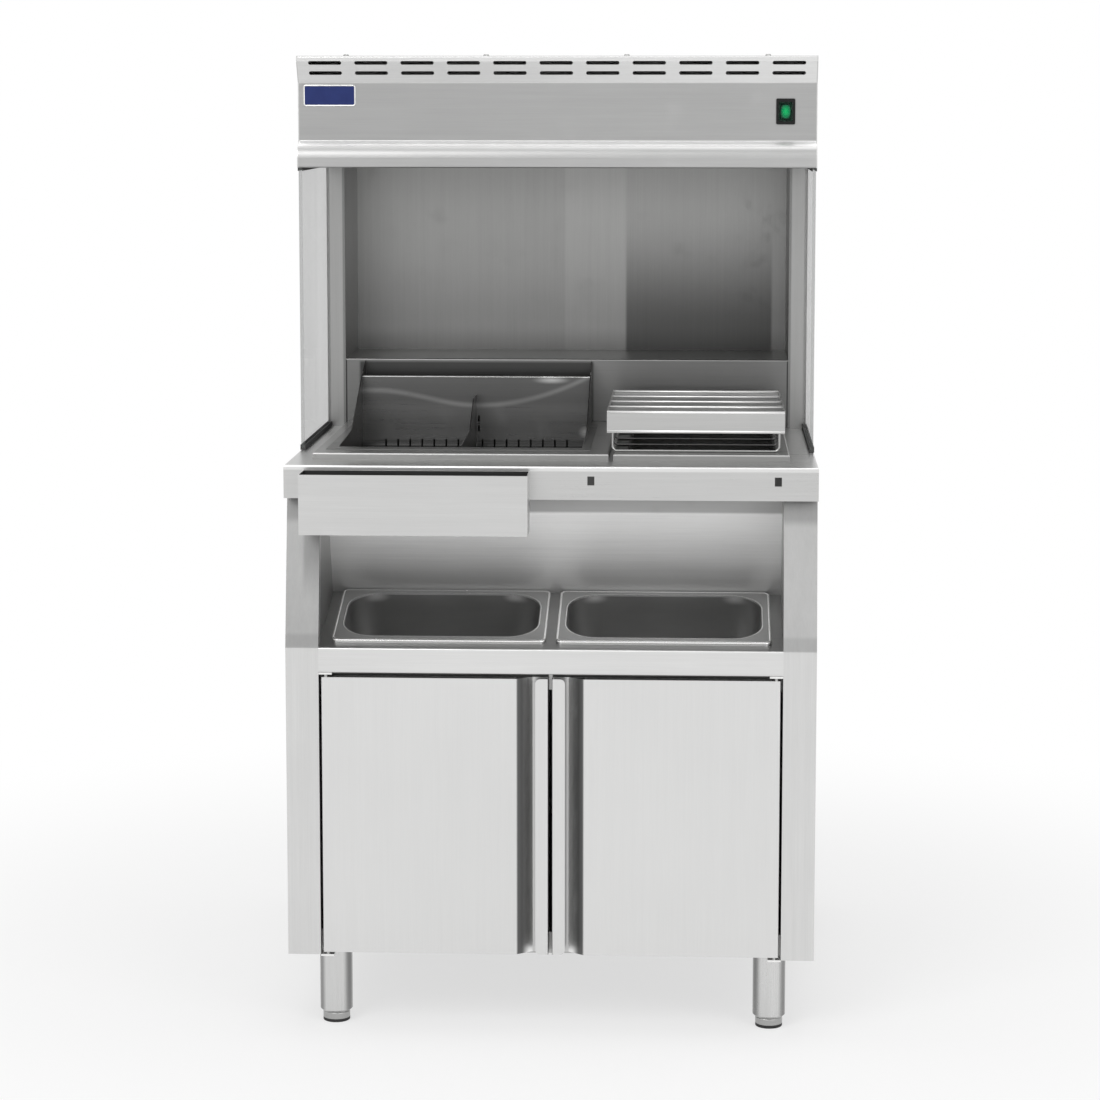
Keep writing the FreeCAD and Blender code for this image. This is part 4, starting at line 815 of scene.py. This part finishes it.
hems = hemTree(hemLook)
hemMiddle = (hemLook["left"] + hemLook["right"]) / 2
for name, row in hemRows.items():
    pieceFromTree(name, hems, steel["rackHem"], {
        "Rows": row["rows"], "Pitch": hemLook["pitch"], "Radius": hemLook["radius"],
        "Length": hemLook["right"] - hemLook["left"],
        "Start": spot(hemMiddle, hemLook["first"], row["height"])})
print("rack hems rolled")

# Rolled beads round the rim and the mouth of both pans, laid out flat and tipped onto the shelf
beadLook = {"slope": 16.28, "origin": spot(0, 0, 594.5 * mm), "along": 108 * mm,
            "middles": {"Left": -170 * mm, "Right": 170 * mm}, "cornerSteps": 10, "sides": 10}
beads = {
    "panLip": {"length": 320.6 * mm, "width": 171.6 * mm, "corner": 7.8 * mm, "radius": 2.7 * mm,
               "height": 2.8 * mm},
    "panMouth": {"length": 300.2 * mm, "width": 151.2 * mm, "corner": 48.6 * mm,
                 "radius": 1.5 * mm, "height": 3.6 * mm},
}


def beadTree(look):
    board, wire = newTree("panBead", {"Length": "Float", "Width": "Float", "Corner": "Float",
                                      "Radius": "Float", "Centre": "Vector", "Origin": "Vector",
                                      "Turn": "Vector"})
    loop = board.node("GeometryNodeCurvePrimitiveQuadrilateral", {},
                      {"Width": wire["Length"], "Height": wire["Width"]})
    bent = board.node("GeometryNodeFilletCurve", {"mode": "POLY"},
                      {"Curve": loop, "Count": look["cornerSteps"], "Radius": wire["Corner"]})
    ring = board.node("GeometryNodeCurvePrimitiveCircle", {},
                      {"Resolution": look["sides"], "Radius": wire["Radius"]})
    roll = board.node("GeometryNodeCurveToMesh", {}, {"Curve": bent, "Profile Curve": ring})
    flat = moved(board, roll, wire["Centre"])
    return finishTree(board, wire, moved(board, flat, wire["Origin"], wire["Turn"]))


beadMaker = beadTree(beadLook)
for side, middle in beadLook["middles"].items():
    for name, one in beads.items():
        pieceFromTree(name + side, beadMaker, steel["panBead"], {
            "Length": one["length"], "Width": one["width"], "Corner": one["corner"],
            "Radius": one["radius"], "Centre": Vector((middle, beadLook["along"], one["height"])),
            "Origin": beadLook["origin"], "Turn": (math.radians(beadLook["slope"]), 0, 0)})
print("pan beads rolled")

# Heating filaments: a spiral inside each quartz tube
coilLook = {"radius": 3.6 * mm, "wire": 0.45 * mm, "turns": 84.0, "length": 560 * mm,
            "depths": (365 * mm, 435 * mm), "height": 1345.5 * mm, "stepsPerTurn": 9,
            "wireSides": 5}


def coilTree(look):
    board, wire = newTree("heatingCoil", {"Turns": "Float", "Radius": "Float", "Length": "Float",
                                          "Wire": "Float", "Centre": "Vector"})
    spiral = board.node("GeometryNodeCurveSpiral", {},
                        {"Resolution": look["stepsPerTurn"], "Rotations": wire["Turns"],
                         "Start Radius": wire["Radius"], "End Radius": wire["Radius"],
                         "Height": wire["Length"]})
    ring = board.node("GeometryNodeCurvePrimitiveCircle", {},
                      {"Resolution": look["wireSides"], "Radius": wire["Wire"]})
    tube = board.node("GeometryNodeCurveToMesh", {}, {"Curve": spiral, "Profile Curve": ring})
    return finishTree(board, wire, moved(board, tube, wire["Centre"], (0, math.pi / 2, 0)))


coils = coilTree(coilLook)
for number, depth in enumerate(coilLook["depths"]):
    pieceFromTree("filament%d" % (number + 1), coils, steel["hiddenSheet"], {
        "Turns": coilLook["turns"], "Radius": coilLook["radius"], "Length": coilLook["length"],
        "Wire": coilLook["wire"],
        "Centre": spot(-coilLook["length"] / 2, depth, coilLook["height"])})
print("filaments wound")

# The plate's bright border, a low rounded frame round a blank field
borderLook = {"centre": (-351 * mm, 1421.5 * mm), "width": 81 * mm, "height": 33 * mm,
              "corner": 4 * mm, "band": 2.2 * mm, "proud": 0.35 * mm, "shoulder": 0.6,
              "depth": 207 * mm, "cornerSteps": 6}


def roundedOutline(look, inset):
    corner = look["corner"] - inset
    halfWidth = (look["width"] - 2 * inset) / 2 - corner
    halfHeight = (look["height"] - 2 * inset) / 2 - corner
    points = []
    for cornerX, cornerZ, start in ((1, 1, 0), (-1, 1, 90), (-1, -1, 180), (1, -1, 270)):
        for step in range(look["cornerSteps"] + 1):
            angle = math.radians(start + 90 * step / look["cornerSteps"])
            points.append((cornerX * halfWidth + corner * math.cos(angle),
                           cornerZ * halfHeight + corner * math.sin(angle)))
    return points


def borderMesh(look):
    outer = roundedOutline(look, 0)
    inner = roundedOutline(look, look["band"])
    middle = [((a[0] + b[0]) / 2, (a[1] + b[1]) / 2) for a, b in zip(outer, inner)]
    shoulder = look["proud"] * look["shoulder"]
    centreX, centreZ = look["centre"]
    work = bmesh.new()
    loops = []
    for outline, proud in ((outer, 0), (outer, shoulder), (middle, look["proud"]),
                           (inner, shoulder), (inner, 0)):
        loops.append([work.verts.new(spot(centreX + x, look["depth"] - proud, centreZ + z))
                      for x, z in outline])
    for first, second in zip(loops, loops[1:] + loops[:1]):
        joinLoops(work, first, second)
    bmesh.ops.recalc_face_normals(work, faces=work.faces)
    mesh = meshFromWork(work, "plateBorder")
    for face in mesh.polygons:
        face.use_smooth = True
    return mesh


newPiece("plateBorder", borderMesh(borderLook), steel["brightWire"], "station")


def aim(thing, place, target):
    scene.collection.objects.link(thing)
    thing.location = place
    thing.rotation_euler = (Vector(target) - Vector(place)).to_track_quat("-Z", "Y").to_euler()


# Camera at the photograph's place: a little to the right, near the hood's height, far away
cameraLook = {"place": spot(222 * mm, -4500 * mm, 1421 * mm), "target": spot(0, 0, 878.9 * mm),
              "lens": 99.6, "sensor": 36.0, "shiftY": -0.08, "clipEnd": 60}
cameraData = bpy.data.cameras.new("camera")
camera = bpy.data.objects.new("camera", cameraData)
aim(camera, cameraLook["place"], cameraLook["target"])
cameraData.lens = cameraLook["lens"]
cameraData.sensor_width = cameraLook["sensor"]
cameraData.shift_y = cameraLook["shiftY"]
cameraData.clip_end = cameraLook["clipEnd"]
scene.camera = camera


# 1 for what the camera sees directly, in a reflection or through glass
def seenRays(board):
    direct, mirrored, through = [board.node("ShaderNodeLightPath", {}, {}, label) for label in
                                 ("Is Camera Ray", "Is Glossy Ray", "Is Transmission Ray")]
    return direct.higher(mirrored).higher(through)


# Pale studio: white surroundings, a floor that keeps the shadow, three soft lamps
studioLook = {"diffuseWorld": 0.55, "floorShade": 0.9, "glow": 0.6, "fadeFrom": 0.5, "fadeTo": 1.9,
              "floorRadius": 12, "floorSides": 96}
world = bpy.data.worlds.new("studio")
scene.world = world
world.use_nodes = True
world.node_tree.nodes.clear()
board = Board(world.node_tree)
strength = seenRays(board) * (1 - studioLook["diffuseWorld"]) + studioLook["diffuseWorld"]
sky = board.node("ShaderNodeBackground", {}, {"Color": (1, 1, 1), "Strength": strength})
board.node("ShaderNodeOutputWorld", {}, {"Surface": sky})

work = bmesh.new()
bmesh.ops.create_circle(work, cap_ends=True, segments=studioLook["floorSides"],
                        radius=studioLook["floorRadius"])
floorMesh = meshFromWork(work, "floor")
floor = bpy.data.objects.new("floor", floorMesh)
scene.collection.objects.link(floor)
material, board, place = newMaterial("floorPaper")
x, y, _ = splitAxes(board, place)
away = (x * x + y * y) ** 0.5
paper = board.node("ShaderNodeBsdfDiffuse", {}, {"Color": (studioLook["floorShade"],) * 3})
glow = board.node("ShaderNodeEmission", {}, {"Color": (1, 1, 1), "Strength": 1.0})
fade = board.ease(away, studioLook["fadeFrom"], studioLook["fadeTo"], studioLook["glow"], 1.0)
finishMaterial(board, board.node("ShaderNodeMixShader", {}, {0: fade * seenRays(board), 1: paper,
                                                             2: glow}))
floorMesh.materials.append(material)

lamps = {
    "key": {"place": (-1.8, -3.6, 3.4), "target": (0, 0, 0.9), "size": 2.4, "power": 70},
    "fill": {"place": (2.6, -3.2, 2.2), "target": (0, 0, 0.8), "size": 2.6, "power": 35},
    "top": {"place": (0.2, 0.4, 4.2), "target": (0, 0, 0.5), "size": 3.0, "power": 32},
}
for name, one in lamps.items():
    data = bpy.data.lights.new(name, "AREA")
    data.energy = one["power"]
    data.size = one["size"]
    aim(bpy.data.objects.new(name, data), one["place"], one["target"])
scene.view_settings.view_transform = "Standard"
print("studio set")
